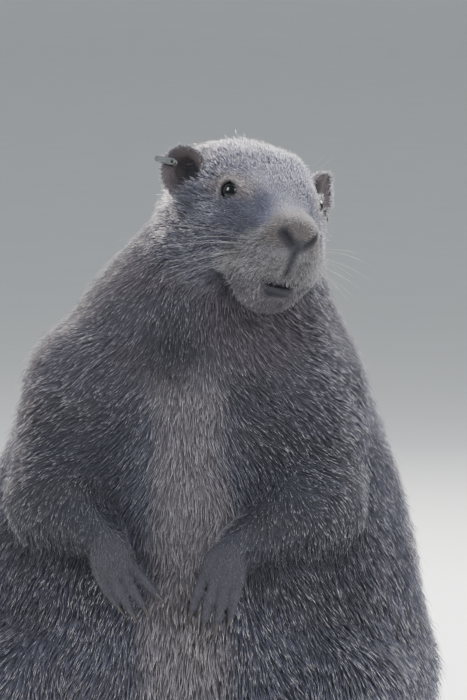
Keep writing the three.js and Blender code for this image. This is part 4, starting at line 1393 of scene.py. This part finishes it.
def ear_coat(name, points, quads, inner, middle, axes, hair):
    """Short hair on the ear, outwards from the middle of the cup: sparse inside and darkened there by
    painted shade, longest on the rim, with pale tips along it that are painted back light."""
    draw = np.random.default_rng(31)
    normals = vertex_normals(points, quads)
    roots, picks = scatter(points, quads, 3.0 - 2.2 * inner, draw)
    normal = unit(normals[quads[picks]].mean(1))
    inside = inner[quads[picks]].mean(1)
    here = (to_head(roots) - middle) @ axes.T
    radial = np.column_stack([here[:, 0], here[:, 1], 0 * here[:, 0]])
    flow = unit(radial) @ axes @ HEAD_TURN.T
    flow = unit(flattened(flow, normal) + 1e-6)
    rim = smooth(9.6, 12.6, np.hypot(here[:, 0] / EAR["narrow"], here[:, 1]))
    count = len(roots)
    length = (2.3 + 1.1 * rim - 0.6 * inside * (1 - rim)) * draw.uniform(0.7, 1.3, count)
    swing = 0.5 + draw.normal(0, 0.3, (count, 1))
    ways = flow * np.cos(swing) + np.cross(normal, flow) * np.sin(swing)
    lift = np.clip(0.3 + 0.25 * rim + draw.normal(0, 0.2, count), 0.05, 1.0)
    # Painted shade: hair inside the hollow made darker
    tone = np.exp(draw.normal(0, 0.45, count)) * (1 - 0.6 * inside * (1 - rim))
    tint = mix(np.tile(EAR_TINT, (count, 1)), CROWN, 0.7 * rim) * tone[:, None]
    # Painted back light: pale tips along the rim
    frost = np.clip(0.15 + 0.7 * rim + draw.normal(0, 0.3, count), 0, 1)
    wrap = wrap_round(from_head([middle])[0], axes @ HEAD_TURN.T)
    width = 0.26 * draw.uniform(0.8, 1.2, count)
    shape = normal, ways, length, width, lift
    dress(tuft_mesh(f"coat_ear_{name}", wrap, tint, frost, roots, *shape), hair, "ear")


TAG = {"long": 12.5, "wide": 3.8, "thick": 0.7, "bevel": 0.18, "hole": 0.95, "radius": 13.6, "lean": 0.25}
TAG_TURN = {"right": 0.5, "left": -0.95}
TAG_LEVELS = (3.9, 0.6)


def tag_strip():
    """A level metal strip: the outline of a bar with round ends outside and a circular hole inside,
    joined over both faces and both edges."""
    turn = full_turn(64)
    end, top = TAG["wide"] / 2, TAG["thick"] / 2
    half, edge = TAG["long"] / 2 - end, top - TAG["bevel"]
    outer = np.column_stack([np.sign(np.cos(turn)) * half + end * np.cos(turn), end * np.sin(turn)])
    face = outer * (1 - TAG["bevel"] / end * 0.5)
    hole = np.column_stack([half + TAG["hole"] * np.cos(turn), TAG["hole"] * np.sin(turn)])
    sections = [(face, top), (outer, edge), (outer, -edge), (face, -top), (hole, -top), (hole, top)]
    rings = [np.column_stack([flat, np.full(len(turn), level)]) for flat, level in sections]
    return np.vstack(rings), grid_faces(len(rings), len(turn), looped=True)


def build_tags():
    """A strip before and a strip behind the rim of each ear, leaning outwards."""
    metal = tag_material()
    strip, quads = tag_strip()
    for name, side in SIDES.items():
        middle, *axes = ear_frame(side)
        lean, turn = side * TAG["lean"], TAG_TURN[name]
        leaning = np.array([[math.cos(lean), math.sin(lean)], [-math.sin(lean), math.cos(lean)]])
        spot = TAG["radius"] * np.array([side * math.cos(turn) * EAR["narrow"], math.sin(turn)])
        flat = strip[:, :2] @ leaning + spot
        local = np.vstack([np.column_stack([flat, strip[:, 2] + level]) for level in TAG_LEVELS])
        points = from_head(local @ np.array(axes) + middle)
        faces = outward(points, np.vstack([quads, quads + len(strip)]))
        tag = mesh_object(f"tag_{name}", points, *as_loops(*faces), smooth_faces=False)
        dress(tag, metal, "tag", f"ear_tag_{name}")


CLAW_THICK = {"forepaw": 2.1, "hindfoot": 2.0}
CLAW_LIE = {"forepaw": (0, 1, 0), "hindfoot": (0, 0, 1)}
CLAW_TAPER = 0.82
CLAW_ROOT = 0.12
CLAW_POINTS = 22


def build_claws():
    """Each claw as a tube along a drooping curve, rounded at its root and narrowing evenly to its tip."""
    horn = horn_material()
    t = np.linspace(0, 1, CLAW_POINTS)
    for paw, digits in DIGITS.items():
        limb_name = paw.split("_")[0]
        radii = CLAW_THICK[limb_name] * (1 - CLAW_TAPER * t) * np.sqrt(np.clip(t / CLAW_ROOT, 0.02, 1))
        for n, (_, bow, end, tip) in enumerate(digits):
            way = unit(end - bow)
            middle = end + 0.45 * (tip - end) + way * 1.4
            line = curve_through([end - 3.2 * way, end + 0.5 * way, middle, tip], CLAW_POINTS)
            tube = swept(line, radii, 14, 1.15, CLAW_LIE[limb_name])
            claw = mesh_object(f"claw_{paw}_{n + 1}", *joined_tubes([tube]))
            dress(claw, horn, "claw", f"{paw}_claw_{n + 1}")


BRISTLE_POINTS = 12
BRISTLE_SIDES = 5


def build_whiskers():
    """Whiskers in rows on each pad and a few above each eye: thin tubes that bow down and back."""
    draw = np.random.default_rng(12)
    tubes = []
    for side in SIDES.values():
        for row in range(4):
            for n in range(4):
                start = [side * (6 + 1.6 * n), -60 + 3.6 * n - 0.8 * row, -31 - 3.4 * row]
                root = leave(head_skin, [start], [[side, -0.35, 0]], 30)[0]
                long = (16 + 11 * n) * draw.uniform(0.75, 1.15)
                rise = 0.14 - 0.14 * row + draw.normal(0, 0.1)
                way = unit([side * (0.9 - 0.03 * n), -0.3 + 0.18 * n + draw.normal(0, 0.06), rise])
                tubes.append(bristle(root, way, long, 0.12))
        for n in range(3):
            root = leave(head_skin, [[side * (12 + 2 * n), -26 - n, -4]], [[side * 0.5, -0.2, 1]], 40)[0]
            way = unit([side * (0.5 + 0.1 * n), -0.15 + 0.1 * n, 0.9 - 0.1 * n])
            tubes.append(bristle(root, way, 22 * draw.uniform(0.8, 1.2), 0.11))
    points, loops, counts = joined_tubes(tubes)
    whiskers = mesh_object("whiskers", from_head(points), loops, counts)
    along = np.append(np.repeat(np.linspace(0, 1, BRISTLE_POINTS), BRISTLE_SIDES), [0, 1])
    paint(whiskers, along=np.tile(along, len(tubes)))
    dress(whiskers, whisker_material(), "face")


def bristle(root, way, long, radius):
    """One bristle in the head's frame: straight out, then drooping with the square of its length."""
    t = np.linspace(0, 1, BRISTLE_POINTS)[:, None]
    line = root - way * 0.8 + way * long * t + np.array([0, 0.16, -0.2]) * long * t**2
    return swept(line, radius * (1 - 0.85 * t[:, 0]), BRISTLE_SIDES, 1.0, (0.2, 0.9, 0.4))


# Studio: the backdrop stands further off than the camera
FLOOR_REACH = 16000
BEND_FROM = 9000
BEND_RADIUS = 3000
WALL_HEIGHT = 9000


def add_floor():
    """Pale floor that curves up into a backdrop far behind: an arc between two straight runs."""
    across = np.linspace(-FLOOR_REACH, FLOOR_REACH, 3)
    bend = np.linspace(0, np.pi / 2, 16)
    ys = np.concatenate([[-FLOOR_REACH], BEND_FROM + BEND_RADIUS * np.sin(bend), [BEND_FROM + BEND_RADIUS]])
    zs = np.concatenate([[0], BEND_RADIUS - BEND_RADIUS * np.cos(bend), [WALL_HEIGHT]])
    points = np.stack([np.repeat(across, len(ys)), np.tile(ys, 3), np.tile(zs, 3)], 1)
    floor = mesh_object("floor", points, *as_loops(grid_faces(3, len(ys), closed=False)))
    floor.data.materials.append(floor_material())


def add_light(name, place, aim, size, power, tint):
    """Square soft light at a place in millimetres, facing another."""
    data = bpy.data.lights.new(name, "AREA")
    data.size = size * MM
    data.energy = power
    data.color = tint
    out = unit(np.subtract(place, aim))
    across = unit(np.cross([0, 0, 1], out))
    place_object(name, data, [across, np.cross(out, across), out], in_metres(place))


# Lights: place, aim, size, power and tint
LIGHTS = {
    "fill": ([900, -1300, 1250], [0, 0, 260], 1250, 28, (0.92, 0.95, 1)),
    "window": ([-1450, -700, 1300], [0, -40, 300], 760, 26, (0.88, 0.94, 1)),
    "side": ([1300, -700, 700], [0, 0, 260], 900, 7, (0.95, 0.97, 1)),
    "rim_left": ([-620, 1050, 800], [0, 0, 300], 480, 46, (1, 0.9, 0.83)),
    "rim_right": ([760, 900, 850], [0, 0, 300], 420, 26, (0.97, 0.97, 1)),
    "top": ([60, 560, 1400], [20, -20, 350], 500, 44, (0.97, 0.96, 1)),
}
SKY = (0.8, 0.84, 0.9, 1)
SKY_STRENGTH = 0.66


def add_studio():
    """Soft light from the front and the sides, and lights from above and behind that edge the coat."""
    for name, settings in LIGHTS.items():
        add_light(name, *settings)
    world = bpy.data.worlds.new("studio")
    world.use_nodes = True
    sky = world.node_tree.nodes["Background"]
    sky.inputs["Color"].default_value = SKY
    sky.inputs["Strength"].default_value = SKY_STRENGTH
    bpy.context.scene.world = world


add_camera()
add_floor()
add_studio()
haired_skin, hair = skin_material(), hair_material()
grow_coat(*build_skin(haired_skin), hair)
build_eyes()
build_ears(haired_skin, hair)
build_tags()
build_claws()
build_whiskers()
